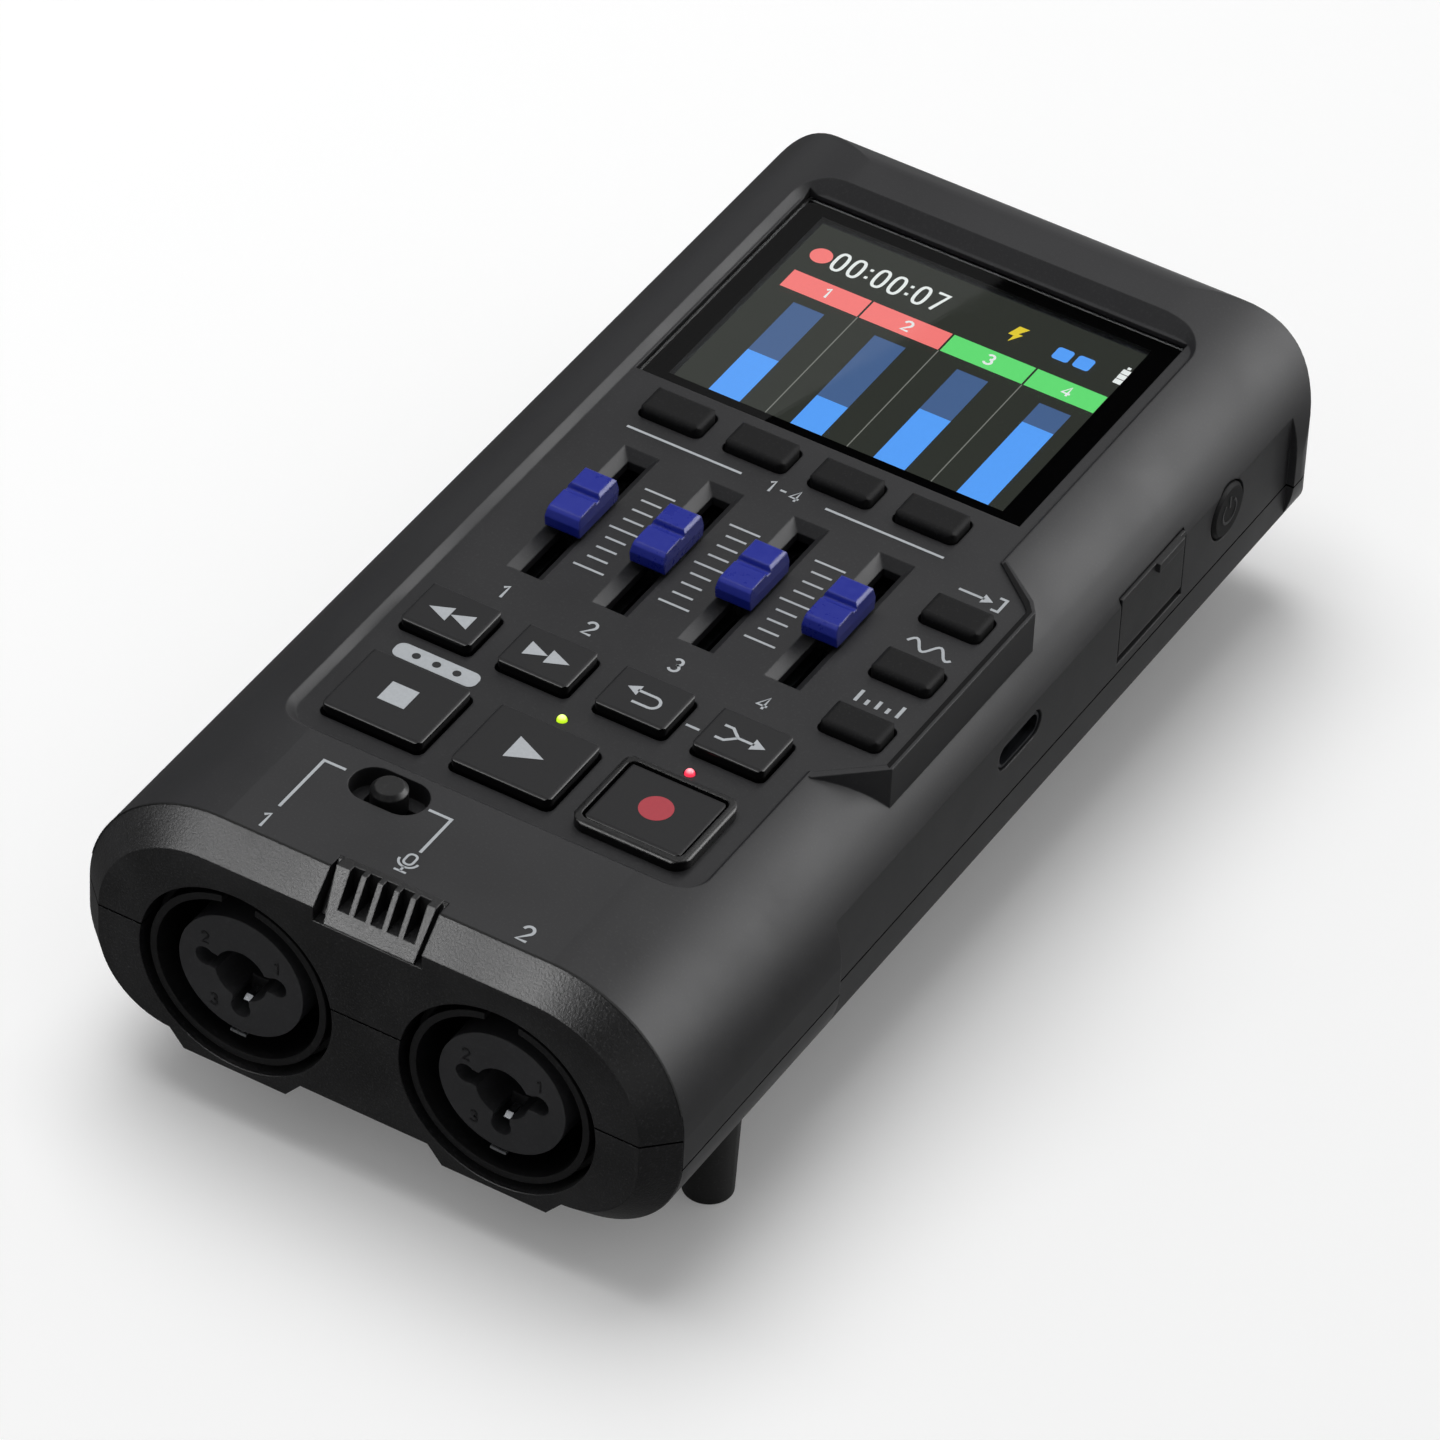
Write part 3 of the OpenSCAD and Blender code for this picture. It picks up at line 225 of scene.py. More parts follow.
lens = {"azimuth": 29.19, "elevation": 41.336, "roll": 3.001, "distance": 1064.447,
        "focalPixels": 9691.361, "frame": 1440, "shift": (0.426, -17.351), "origin": (0.5, -2.02, 38.3)}
az, el, roll = (radians(lens[k]) for k in ("azimuth", "elevation", "roll"))
right = Vector((cos(az), sin(az), 0))
ahead = Vector((-sin(az) * cos(el), cos(az) * cos(el), -sin(el)))
up = right.cross(ahead)
camRight = right * cos(roll) + up * sin(roll)
camUp = up * cos(roll) - right * sin(roll)
camSpot = (camRight * lens["shift"][0] + camUp * lens["shift"][1] - ahead * lens["distance"]
           + Vector(lens["origin"])) * mm
camera = bpy.data.objects.new("camera", bpy.data.cameras.new("camera"))
camera.matrix_world = Matrix.Translation(camSpot) @ Matrix((camRight, camUp, -ahead)).transposed().to_4x4()
camera.data.sensor_width = 36
camera.data.lens = 36 * lens["focalPixels"] / lens["frame"]
camera.data.clip_start = 0.01
scene.collection.objects.link(camera)
scene.camera = camera
print("camera set")


# Materials

mouldings = {
    # injection moulded ABS with a fine spark-eroded skin: even dark grey, broad soft sheen
    "mouldedAbsFineGrain": {"deep": "#1a1a1c", "lift": "#222224", "grain": 0.32, "relief": 0.010,
                            "bump": 0.35, "rough": (0.44, 0.56), "gloss": 0.28, "edge": 0.25,
                            "joint": 18.8},
    # the same ABS from a coarsely eroded tool: the grit shows as pale specks where the light rakes it
    "mouldedAbsCoarseGrain": {"deep": "#0c0c0d", "lift": "#141416", "grain": 0.3, "relief": 0.055,
                              "bump": 1.0, "rough": (0.3, 0.5), "gloss": 0.36, "edge": 0.2,
                              "fleck": 0.12, "joint": 23.1},
    # ABS cover from an older, worn tool: between the two, dull
    "mouldedAbsCover": {"deep": "#111112", "lift": "#19191b", "grain": 0.36, "relief": 0.02,
                        "bump": 0.5, "rough": (0.42, 0.55), "gloss": 0.28, "edge": 0.2},
    # silicone rubber from a matt tool: nearly black and dry, a faint bloom in patches
    "mouldedSiliconeRubber": {"deep": "#0c0c0d", "lift": "#121213", "grain": 0.28, "relief": 0.006,
                              "bump": 0.3, "rough": (0.55, 0.7), "gloss": 0.12, "edge": 0.3},
    # high-gloss ABS: black, with clear reflections and fine handling haze
    "polishedBlackAbs": {"deep": "#09090a", "lift": "#0e0e0f", "grain": 1.2, "relief": 0.002,
                         "bump": 0.1, "rough": (0.2, 0.34), "gloss": 0.35, "edge": 0.25},
    # pigmented ABS, semi-gloss: deep blue, slightly paler where the melt ran thin
    "mouldedBlueAbs": {"deep": "#1b268b", "lift": "#202d96", "grain": 0.9, "relief": 0.004,
                       "bump": 0.2, "rough": (0.24, 0.34), "gloss": 0.4, "edge": 0.35,
                       "fleck": 0.02},
    # glass-filled nylon: black with a low sheen and faint fibre flecks
    "mouldedNylon": {"deep": "#0c0c0d", "lift": "#141415", "grain": 0.45, "relief": 0.008,
                     "bump": 0.3, "rough": (0.34, 0.48), "gloss": 0.3, "edge": 0.25},
    # PBT socket inserts: charcoal, a dry even face from a finely etched tool
    "mouldedPbt": {"deep": "#242426", "lift": "#303032", "grain": 0.4, "relief": 0.01,
                   "bump": 0.35, "rough": (0.4, 0.55), "gloss": 0.35, "edge": 0.2},
    # acetal switch bodies: milky grey, waxy
    "mouldedAcetal": {"deep": "#3c3e42", "lift": "#484a4f", "grain": 0.5, "relief": 0.004,
                      "bump": 0.2, "rough": (0.4, 0.5), "gloss": 0.4, "edge": 0.1},
    # natural rubber feet: black and dusty
    "mouldedFootRubber": {"deep": "#131313", "lift": "#1c1c1c", "grain": 0.4, "relief": 0.012,
                          "bump": 0.4, "rough": (0.65, 0.8), "gloss": 0.2, "edge": 0.4},
}

# what all mouldings share: pitch of melt flow and handling in mm, the grain's part in the tone and the span
# of both together, grains that stand proud and are rubbed paler, the open joint between two mouldings
moulded = {"flow": 14, "grainPart": 0.55, "span": (0.5, 1.05), "proudSpan": (0.56, 0.72), "proudPart": 0.06,
           "proudTone": "#6e6e70", "jointHalf": 0.125, "jointTone": "#050505"}


def mouldedFinish(name, spec):
    material, tree, output, place = startMaterial(name)
    # grain pitch in mm, drawn coarser than the real 0.1 mm so that it shows
    grain = addNode(tree, "ShaderNodeTexNoise", None,
                    {"Vector": place, "Scale": 1000 / spec["grain"], "Detail": 3.0,
                     "Roughness": 0.65}).outputs["Fac"]
    flow = addNode(tree, "ShaderNodeTexNoise", None,
                   {"Vector": place, "Scale": 1000 / moulded["flow"], "Detail": 4.0, "Roughness": 0.55,
                    "Distortion": 0.4}).outputs["Fac"]
    both = addNode(tree, "ShaderNodeMath", {"operation": "MULTIPLY_ADD"},
                   {0: grain, 1: moulded["grainPart"], 2: flow}).outputs[0]
    colour = mixTone(tree, stretch(tree, both, moulded["span"]), spec["deep"], spec["lift"])
    fleck = spec.get("fleck", moulded["proudPart"])
    proud = stretch(tree, grain, moulded["proudSpan"], (0.0, fleck))
    colour = mixTone(tree, proud, colour, moulded["proudTone"])
    gloss = spec["gloss"]
    if "joint" in spec:
        # dark and dull along the joint's height
        height = addNode(tree, "ShaderNodeSeparateXYZ", None, {0: place}).outputs["Z"]
        apart = addNode(tree, "ShaderNodeMath", {"operation": "COMPARE"},
                        {0: height, 1: spec["joint"] * mm, 2: moulded["jointHalf"] * mm}).outputs[0]
        colour = mixTone(tree, apart, colour, moulded["jointTone"])
        gloss = stretch(tree, apart, to=(spec["gloss"], 0.0))
    edge = addNode(tree, "ShaderNodeBevel", {"samples": 4}, {"Radius": spec["edge"] * mm})
    bump = addNode(tree, "ShaderNodeBump", None,
                   {"Height": grain, "Strength": spec["bump"], "Distance": spec["relief"] * mm,
                    "Normal": edge.outputs["Normal"]})
    sheen = stretch(tree, both, moulded["span"], spec["rough"])
    return closeMaterial(material, tree, output,
                         {"Base Color": colour, "Roughness": sheen, "IOR": 1.5, "Specular IOR Level": gloss,
                          "Normal": bump.outputs["Normal"]})


finish = {name: mouldedFinish(name, spec) for name, spec in mouldings.items()}

metals = {
    # pressed mild steel, nickel plated: grey, with fine rolling lines
    "stampedNickelSteel": {"tint": "#b9bbbe", "dull": "#8d9094", "rough": (0.24, 0.42), "line": 0.25},
    # brass contact strip, tin over the pressed edges: warm yellow
    "pressedBrass": {"tint": "#d2b36a", "dull": "#a98a48", "rough": (0.22, 0.4), "line": 0.2},
    # steel blackened over zinc: dark with a faint blue cast
    "blackZincSteel": {"tint": "#3a3c40", "dull": "#26272a", "rough": (0.32, 0.5), "line": 0.3},
}


def rolledFinish(name, spec):
    material, tree, output, place = startMaterial(name)
    drawn = addNode(tree, "ShaderNodeMapping", None, {"Vector": place, "Scale": (1.0, 0.08, 1.0)})
    lines = addNode(tree, "ShaderNodeTexNoise", None,
                    {"Vector": drawn.outputs[0], "Scale": 1000 / spec["line"], "Detail": 3.0}).outputs["Fac"]
    bump = addNode(tree, "ShaderNodeBump", None, {"Height": lines, "Strength": 0.15, "Distance": 0.00001})
    return closeMaterial(material, tree, output,
                         {"Base Color": mixTone(tree, lines, spec["dull"], spec["tint"]), "Metallic": 1.0,
                          "Roughness": stretch(tree, lines, (0.3, 0.7), spec["rough"]),
                          "Normal": bump.outputs["Normal"]})


finish.update({name: rolledFinish(name, spec) for name, spec in metals.items()})


def paintedKeyFinish():
    # ABS key: matt painted top, bare gloss black flanks below the painted edge
    spec = {"top": "#111113", "fleck": "#18181a", "flank": "#080809", "grain": 0.3, "paintEdge": (0.55, 0.93),
            "rough": (0.2, 0.58), "gloss": 0.23}
    material, tree, output, place = startMaterial("paintedAbsKey")
    facing = addNode(tree, "ShaderNodeSeparateXYZ", None,
                     {0: addNode(tree, "ShaderNodeNewGeometry").outputs["Normal"]}).outputs["Z"]
    top = stretch(tree, facing, spec["paintEdge"], interpolation_type="SMOOTHSTEP")
    grain = addNode(tree, "ShaderNodeTexNoise", None,
                    {"Vector": place, "Scale": 1000 / spec["grain"], "Detail": 3.0}).outputs["Fac"]
    paint = mixTone(tree, grain, spec["top"], spec["fleck"])
    bump = addNode(tree, "ShaderNodeBump", None, {"Height": grain, "Strength": 0.2, "Distance": 0.000006})
    return closeMaterial(material, tree, output,
                         {"Base Color": mixTone(tree, top, spec["flank"], paint),
                          "Roughness": stretch(tree, top, to=spec["rough"]), "IOR": 1.5,
                          "Specular IOR Level": spec["gloss"], "Normal": bump.outputs["Normal"]})


finish["paintedAbsKey"] = paintedKeyFinish()

inks = {
    # silk-screened two-part ink: flat pale grey, a little thin over the grain
    "silkScreenPaleInk": {"full": "#b4b8bc", "thin": "#a2a6aa", "gloss": 0.25},
    "silkScreenDarkInk": {"full": "#222224", "thin": "#2c2c2e", "gloss": 0.25},
    "silkScreenRedInk": {"full": "#b03a45", "thin": "#a3343f", "gloss": 0.25},
    # flat black for painted shade, laid as a strip where a hollow lies in shadow: flat and deep
    "paintedShadeBlack": {"full": "#040405", "thin": "#080809", "gloss": 0.1},
    # black ceramic ink fired into the back of the glass: wetted by it, so no sheen of its own
    "firedBlackInk": {"full": "#030304", "thin": "#050506", "gloss": 0.0},
}


def inkFinish(name, spec):
    material, tree, output, place = startMaterial(name)
    cover = addNode(tree, "ShaderNodeTexNoise", None,
                    {"Vector": place, "Scale": 1000 / 0.35, "Detail": 2.0}).outputs["Fac"]
    return closeMaterial(material, tree, output,
                         {"Base Color": mixTone(tree, cover, spec["thin"], spec["full"]),
                          "Roughness": stretch(tree, cover, to=(0.5, 0.66)), "IOR": 1.48,
                          "Specular IOR Level": spec["gloss"]})


finish.update({name: inkFinish(name, spec) for name, spec in inks.items()})

screenLights = {
    # backlit liquid crystal: even glow broken by the cell grid, 0.15 mm drawn as 0.3 mm
    "litCellsGrey": ("#363833", 1.0),
    "litCellsRed": ("#ff807d", 1.14),
    "litCellsGreen": ("#6ae47a", 1.12),
    "litCellsBlue": ("#5ca4ff", 1.14),
    "litCellsNavy": ("#4f6b9a", 1.0),
    "litCellsWhite": ("#f4f6f4", 1.1),
    "litCellsLine": ("#84847e", 1.0),
    "litCellsYellow": ("#f0d43c", 1.1),
}


def litFinish(name, tint, power):
    material, tree, output, place = startMaterial(name)
    grid = addNode(tree, "ShaderNodeTexBrick", {"offset": 0.0},
                   {"Vector": place, "Color1": (1, 1, 1, 1), "Color2": (0.97, 0.97, 0.97, 1),
                    "Mortar": (0.9, 0.9, 0.9, 1), "Scale": 1000 / 0.3, "Mortar Size": 0.06,
                    "Brick Width": 1.0, "Row Height": 1.0})
    glow = addNode(tree, "ShaderNodeMix", {"data_type": "RGBA", "blend_type": "MULTIPLY"},
                   {0: 1.0, 6: hexToLinear(tint), 7: grid.outputs["Color"]})
    return closeMaterial(material, tree, output,
                         {"Base Color": hexToLinear("#030303"), "Roughness": 0.4, "Specular IOR Level": 0.0,
                          "Emission Color": glow.outputs[2], "Emission Strength": power})


finish.update({name: litFinish(name, *pair) for name, pair in screenLights.items()})


def floatGlassFinish():
    # float glass with polished faces: clear, a hard reflection, fingertip smears in the roughness
    material, tree, output, place = startMaterial("polishedFloatGlass")
    smear = addNode(tree, "ShaderNodeTexNoise", None,
                    {"Vector": place, "Scale": 1000 / 9, "Detail": 5.0, "Distortion": 1.2})
    return closeMaterial(material, tree, output,
                         {"Base Color": hexToLinear("#f4f8f8"), "IOR": 1.5, "Transmission Weight": 1.0,
                          "Roughness": stretch(tree, smear.outputs["Fac"], (0.45, 0.8), (0.0, 0.05))})


finish["polishedFloatGlass"] = floatGlassFinish()

lamps = {
    # cast epoxy lens with the chip alight inside: white-hot middle, coloured rim
    "castEpoxyGreenLamp": {"core": "#f4ffb0", "rim": "#a8d020", "centre": (0.2, -33.6, 38.8)},
    "castEpoxyRedLamp": {"core": "#ffb0b8", "rim": "#d83048", "centre": (16.2, -33.4, 38.8)},
}


def lampFinish(name, spec):
    material, tree, output, place = startMaterial(name)
    away = addNode(tree, "ShaderNodeVectorMath", {"operation": "DISTANCE"},
                   {0: place, 1: tuple(at * mm for at in spec["centre"])}).outputs["Value"]
    glow = mixTone(tree, stretch(tree, away, (0.0001, 0.0006)), spec["core"], spec["rim"])
    return closeMaterial(material, tree, output,
                         {"Base Color": hexToLinear(spec["rim"]), "Roughness": 0.25, "IOR": 1.54,
                          "Emission Color": glow, "Emission Strength": 1.3})


finish.update({name: lampFinish(name, spec) for name, spec in lamps.items()})


def laminateFinish():
    # glass-epoxy laminate under black solder mask: tracks show as a faint paler relief
    material, tree, output, place = startMaterial("maskedGlassEpoxy")
    tracks = addNode(tree, "ShaderNodeTexBrick", {"offset": 0.5},
                     {"Vector": place, "Color1": hexToLinear("#0c0d0d"), "Color2": hexToLinear("#101212"),
                      "Mortar": hexToLinear("#1c2020"), "Scale": 1000 / 4.0, "Mortar Size": 0.05,
                      "Brick Width": 1.3, "Row Height": 0.4})
    weave = addNode(tree, "ShaderNodeTexNoise", None, {"Vector": place, "Scale": 1000 / 0.6, "Detail": 2.0})
    return closeMaterial(material, tree, output,
                         {"Base Color": tracks.outputs["Color"], "IOR": 1.55,
                          "Roughness": stretch(tree, weave.outputs["Fac"], to=(0.28, 0.45))})


finish["maskedGlassEpoxy"] = laminateFinish()


def cellWrapFinish():
    # shrunk plastic sleeve on a round cell: grey with one darker band at the end
    material, tree, output, place = startMaterial("shrunkCellSleeve")
    along = addNode(tree, "ShaderNodeSeparateXYZ", None, {0: place})
    band = addNode(tree, "ShaderNodeMapRange", {"interpolation_type": "STEPPED"},
                   {"Value": along.outputs["Y"], "From Min": 0.004, "From Max": 0.006, "Steps": 1.0})
    crease = addNode(tree, "ShaderNodeTexNoise", None, {"Vector": place, "Scale": 1000 / 1.5, "Detail": 3.0})
    bump = addNode(tree, "ShaderNodeBump", None,
                   {"Height": crease.outputs["Fac"], "Strength": 0.2, "Distance": 0.00003})
    return closeMaterial(material, tree, output,
                         {"Base Color": mixTone(tree, band.outputs["Result"], "#7d868e", "#3c4349"),
                          "Roughness": 0.3, "IOR": 1.5, "Normal": bump.outputs["Normal"]})


finish["shrunkCellSleeve"] = cellWrapFinish()
print("materials made,", len(finish))

# CAD solids that keep their own shape
dress(finish["mouldedAbsFineGrain"], "top_shell", "bottom_shell", "battery_door")
dress(finish["mouldedAbsCoarseGrain"], "front_bezel_upper", "front_bezel_lower", "mic_grille")
dress(finish["mouldedAbsCover"], "card_door")
dress(finish["mouldedPbt"], "jack_insert_left", "jack_insert_right")
dress(finish["mouldedSiliconeRubber"], "track_key_1", "track_key_2", "track_key_3", "track_key_4",
      "side_key_1", "side_key_2", "side_key_3", "power_key", "volume_wheel")
dress(finish["paintedAbsKey"], "rewind_key", "forward_key", "undo_key", "mix_key",
      "stop_key", "play_key", "record_key")
dress(finish["polishedBlackAbs"], "record_guard")
dress(finish["mouldedBlueAbs"], "fader_cap_1", "fader_cap_2", "fader_cap_3", "fader_cap_4")
dress(finish["stampedNickelSteel"], "fader_lever_1", "fader_lever_2", "fader_lever_3", "fader_lever_4",
      "mic_capsule", "card_socket", "door_pin", "battery_contacts")
dress(finish["mouldedNylon"], "jack_housing_left", "jack_housing_right", "phones_jack",
      "input_switch", "input_knob")
dress(finish["mouldedAcetal"], "key_switches", "volume_encoder", "display_module")
dress(finish["pressedBrass"], "jack_pins")
dress(finish["maskedGlassEpoxy"], "jack_board", "main_board", "control_board")
dress(finish["shrunkCellSleeve"], "battery_cells")
dress(finish["blackZincSteel"], "case_screws", "board_screws", "serial_port", "fader_bodies")
dress(finish["mouldedFootRubber"], "rubber_feet")
dress(finish["polishedFloatGlass"], "display_window")
dress(finish["castEpoxyGreenLamp"], "play_led")
dress(finish["castEpoxyRedLamp"], "record_led")
print("solids dressed")


# Printing on the panel

inkHalf = 0.02


def inkLevels(face):
    # ink lies half in and half above the face it is printed on
    return face - inkHalf, face + inkHalf


panelPrint = {"level": 38.3, "line": 0.34, "trackLine": 12.5, "trackLeft": (-19.9, -5.0),
              "trackRight": (5.85, 21.0), "rangeAt": 0.45, "rangeTall": 1.9, "rangeLine": 0.3,
              "numberAt": (-16.2, -5.14, 5.85, 16.93), "numberY": -19.2, "numberTall": 2.1,
              "tickStart": -12.52, "tickPitch": 10.958, "tickY": (-10.8, 4.3), "ticks": 9, "tickLine": 0.3,
              "tickLong": 3.9, "tickShort": 2.6, "link": [(11.75, -26.9), (13.45, -26.9)], "linkLine": 0.36}
bm = bmesh.new()
low, high = inkLevels(panelPrint["level"])
for left, end in (panelPrint["trackLeft"], panelPrint["trackRight"]):
    path = [(left, panelPrint["trackLine"]), (end, panelPrint["trackLine"])]
    addStroke(bm, path, panelPrint["line"], low, high)
addDigits(bm, "1-4", panelPrint["rangeAt"], panelPrint["trackLine"], panelPrint["rangeTall"],
          panelPrint["rangeLine"], low, high)
for i, x in enumerate(panelPrint["numberAt"]):
    addDigits(bm, str(i + 1), x, panelPrint["numberY"], panelPrint["numberTall"], panelPrint["line"],
              low, high)
tickFoot, tickHead = panelPrint["tickY"]
for n in range(3):
    centre = panelPrint["tickStart"] + n * panelPrint["tickPitch"] + panelPrint["tickLong"] / 2
    for i in range(panelPrint["ticks"]):
        y = tickFoot + (tickHead - tickFoot) * i / (panelPrint["ticks"] - 1)
        half = (panelPrint["tickLong"] if i % 4 == 0 else panelPrint["tickShort"]) / 2
        addStroke(bm, [(centre - half, y), (centre + half, y)], panelPrint["tickLine"], low, high)
addStroke(bm, panelPrint["link"], panelPrint["linkLine"], low, high)

# pictograms beside the side keys: line in, wave, beat
pictogram = {"line": 0.34, "shaft": [(25.0, 9.0), (28.2, 9.0)],
             "head": [(28.0, 8.2), (29.3, 9.0), (28.0, 9.8)],
             "bracket": [(29.6, 10.1), (30.5, 10.1), (30.5, 7.9), (29.6, 7.9)],
             "waveAt": (24.6, -1.6), "waveStep": 0.24, "waveRise": 0.85, "waveTurn": 0.5, "wavePoints": 25,
             "beatAt": (24.9, -13.4), "beatPitch": 1.3, "beats": (2.0, 0.9, 1.4, 0.9, 2.0), "beatLine": 0.42}
addStroke(bm, pictogram["shaft"], pictogram["line"], low, high)
addPlate(bm, pictogram["head"], low, high)
addStroke(bm, pictogram["bracket"], pictogram["line"], low, high)
waveX, waveY = pictogram["waveAt"]
wave = [(waveX + pictogram["waveStep"] * i, waveY + pictogram["waveRise"] * sin(i * pictogram["waveTurn"]))
        for i in range(pictogram["wavePoints"])]
addStroke(bm, wave, pictogram["line"], low, high)
beatX, beatY = pictogram["beatAt"]
for i, tall in enumerate(pictogram["beats"]):
    x = beatX + pictogram["beatPitch"] * i
    addStroke(bm, [(x, beatY), (x, beatY + tall)], pictogram["beatLine"], low, high)
finishPiece("panelPrint", bm, finish["silkScreenPaleInk"], "chassis")

# painted shade: a flat black strip over the inner half of the low rim round the side keys, where shadow falls
rim = {"level": 38.65, "inner": [(27.14, 14.79), (32.2, 10.58), (33.3, 9.44), (33.3, -20.84)],
       "outer": [(27.14, 15.37), (32.74, 11.01), (33.84, 9.66), (33.84, -21.2)]}
bm = bmesh.new()
addPlate(bm, rim["inner"] + rim["outer"][::-1], *inkLevels(rim["level"]))
finishPiece("rimPaintedShade", bm, finish["paintedShadeBlack"], "chassis")

# pale pill with three dots above the stop key
keyPill = {"left": -21.15, "right": -10.5, "middle": -33.6, "tall": 2.5, "corner": 1.0, "level": 38.3,
           "dots": (-18.4, -15.8, -13.2), "dotRadius": 0.5, "dotLevels": (38.31, 38.34)}
bm = bmesh.new()
pill = roundOutline((keyPill["left"] + keyPill["right"]) / 2, keyPill["middle"],
                    keyPill["right"] - keyPill["left"], keyPill["tall"], keyPill["corner"])
addPlate(bm, pill, *inkLevels(keyPill["level"]))
finishPiece("pillPrint", bm, finish["silkScreenPaleInk"], "chassis")
bm = bmesh.new()
for x in keyPill["dots"]:
    addPlate(bm, discOutline(x, keyPill["middle"], keyPill["dotRadius"], 18), *keyPill["dotLevels"])
finishPiece("pillDots", bm, finish["silkScreenDarkInk"], "chassis")

# brackets and numbers at the front, and a capsule on its stand for the built-in microphone
marginPrint = {"level": 40.0, "line": 0.36, "fine": 0.28, "tall": 2.3,
               "brackets": ([(-16.45, -63.8), (-16.45, -55.0), (-13.7, -55.0)],
                            [(-2.9, -55.5), (-0.05, -55.5), (-0.05, -61.7)]),
               "numbers": (("1", -16.6, -66.4), ("2", 16.0, -66.2)),
               "capsule": (-0.3, -63.2, 1.1, 1.7, 0.5), "cup": (-0.3, -63.5, 1.15, 1.05, 180, 360, 12),
               "stand": ([(-0.3, -64.5), (-0.3, -65.3)], [(-1.05, -65.3), (0.45, -65.3)])}
bm = bmesh.new()
low, high = inkLevels(marginPrint["level"])
for path in marginPrint["brackets"]:
    addStroke(bm, path, marginPrint["line"], low, high)
for digit, x, y in marginPrint["numbers"]:
    addDigits(bm, digit, x, y, marginPrint["tall"], marginPrint["line"], low, high)
addStroke(bm, roundOutline(*marginPrint["capsule"]), marginPrint["fine"], low, high, True)
addStroke(bm, arcPath(*marginPrint["cup"]), marginPrint["fine"], low, high)
for path in marginPrint["stand"]:
    addStroke(bm, path, marginPrint["fine"], low, high)
finishPiece("marginPrint", bm, finish["silkScreenPaleInk"], "chassis")
print("panel printed")


# Symbols on the keys

keyTop = {"plain": 39.8, "record": 39.6, "line": 0.36}


def keyMark(name, node, at, shapes, ink="silkScreenPaleInk"):
    # plates and strokes on one key's top, riding with that key
    low, high = inkLevels(keyTop["record" if node == "record_key" else "plain"])
    bm = bmesh.new()
    for kind, points in shapes:
        if kind == "plate":
            addPlate(bm, points, low, high)
        else:
            addStroke(bm, points, keyTop["line"], low, high)
    finishPiece(name, bm, finish[ink], node + "_body", Matrix.Translation((at[0], at[1], 0)))


keyMark("rewindMark", "rewind_key", (-18.14, -27.2),
        [("plate", [(-2.7, 0), (0, -1.2), (0, 1.2)]), ("plate", [(0.05, 0), (2.7, -1.2), (2.7, 1.2)])])
keyMark("forwardMark", "forward_key", (-5.6, -27.15),
        [("plate", [(-2.7, -1.2), (-0.05, 0), (-2.7, 1.2)]), ("plate", [(0, -1.2), (2.7, 0), (0, 1.2)])])
keyMark("undoMark", "undo_key", (6.7, -27.2),
        [("stroke", [(-1.0, -1.15)] + arcPath(1.0, -0.2, 0.95, 0.95, -90, 90, 12) + [(-1.3, 0.75)]),
         ("plate", [(-2.6, 0.75), (-1.1, -0.1), (-1.1, 1.6)])])
keyMark("mixMark", "mix_key", (18.95, -27.2),
        [("stroke", [(-2.8, 1.1), (-1.7, 1.1), (-0.5, 0), (1.5, 0)]),
         ("stroke", [(-2.8, -1.1), (-1.7, -1.1), (-0.6, -0.1)]),
         ("plate", [(1.3, -0.95), (2.9, 0), (1.3, 0.95)])])
keyMark("stopMark", "stop_key", (-15.67, -41.55),
        [("plate", [(-1.7, -1.62), (1.7, -1.62), (1.7, 1.62), (-1.7, 1.62)])])
keyMark("playMark", "play_key", (0.55, -41.75),
        [("plate", [(-1.68, -1.9), (2.35, 0), (-1.68, 1.9)])])
keyMark("recordMark", "record_key", (16.88, -41.5),
        [("plate", discOutline(0, 0, 1.95, 36))], "silkScreenRedInk")
print("key symbols made")


# Screen picture under the glass

screen = {"middle": (0.4, 40.95), "lit": (-21.3, 21.7, 24.4, 57.8), "base": 36.1, "layer": 0.03,
          "bars": (-14.7, -4.0, 6.8, 17.55), "levels": (33.5, 30.8, 35.2, 39.65), "barWide": 4.05,
          "barFoot": 24.5, "barHead": 43.6, "barGap": 0.02, "ruleY": (24.6, 45.3), "ruleLine": 0.13,
          "heads": (-19.8, -9.3, 1.35, 12.25, 21.55), "headY": (45.4, 48.75), "headGap": 0.14,
          "numberY": 47.1, "numberRight": 0.2, "numberTall": 1.7, "numberLine": 0.3,
          "spot": (-18.4, 52.6, 1.35), "timeAt": (-9.5, 52.75), "timeTall": 3.2, "timeLine": 0.39,
          "timeWide": 0.78, "timeStep": 0.67, "badges": (13.5, 16.2), "badgeY": 52.5,
          "badge": (2.1, 2.2, 0.4),
          "bolt": [(7.0, 51.2), (8.0, 52.9), (7.4, 52.9), (8.2, 54.2), (6.9, 54.2), (6.4, 52.4), (7.1, 52.4)]}
charge = {"x": (20.5, 21.5), "foot": 51.4, "head": 52.2, "pitch": 0.95, "pole": (20.8, 21.2, 54.3, 54.7)}


def box2(x0, x1, y0, y1):
    return [(x0, y0), (x1, y0), (x1, y1), (x0, y1)]


def screenPiece(name, tint, layer, plates, strokes=()):
    low = screen["base"] + screen["layer"] * layer
    high = low + screen["layer"]
    bm = bmesh.new()
    for outline in plates:
        addPlate(bm, outline, low, high)
    for path, width in strokes:
        addStroke(bm, path, width, low, high)
    finishPiece(name, bm, finish[tint], "chassis", None)


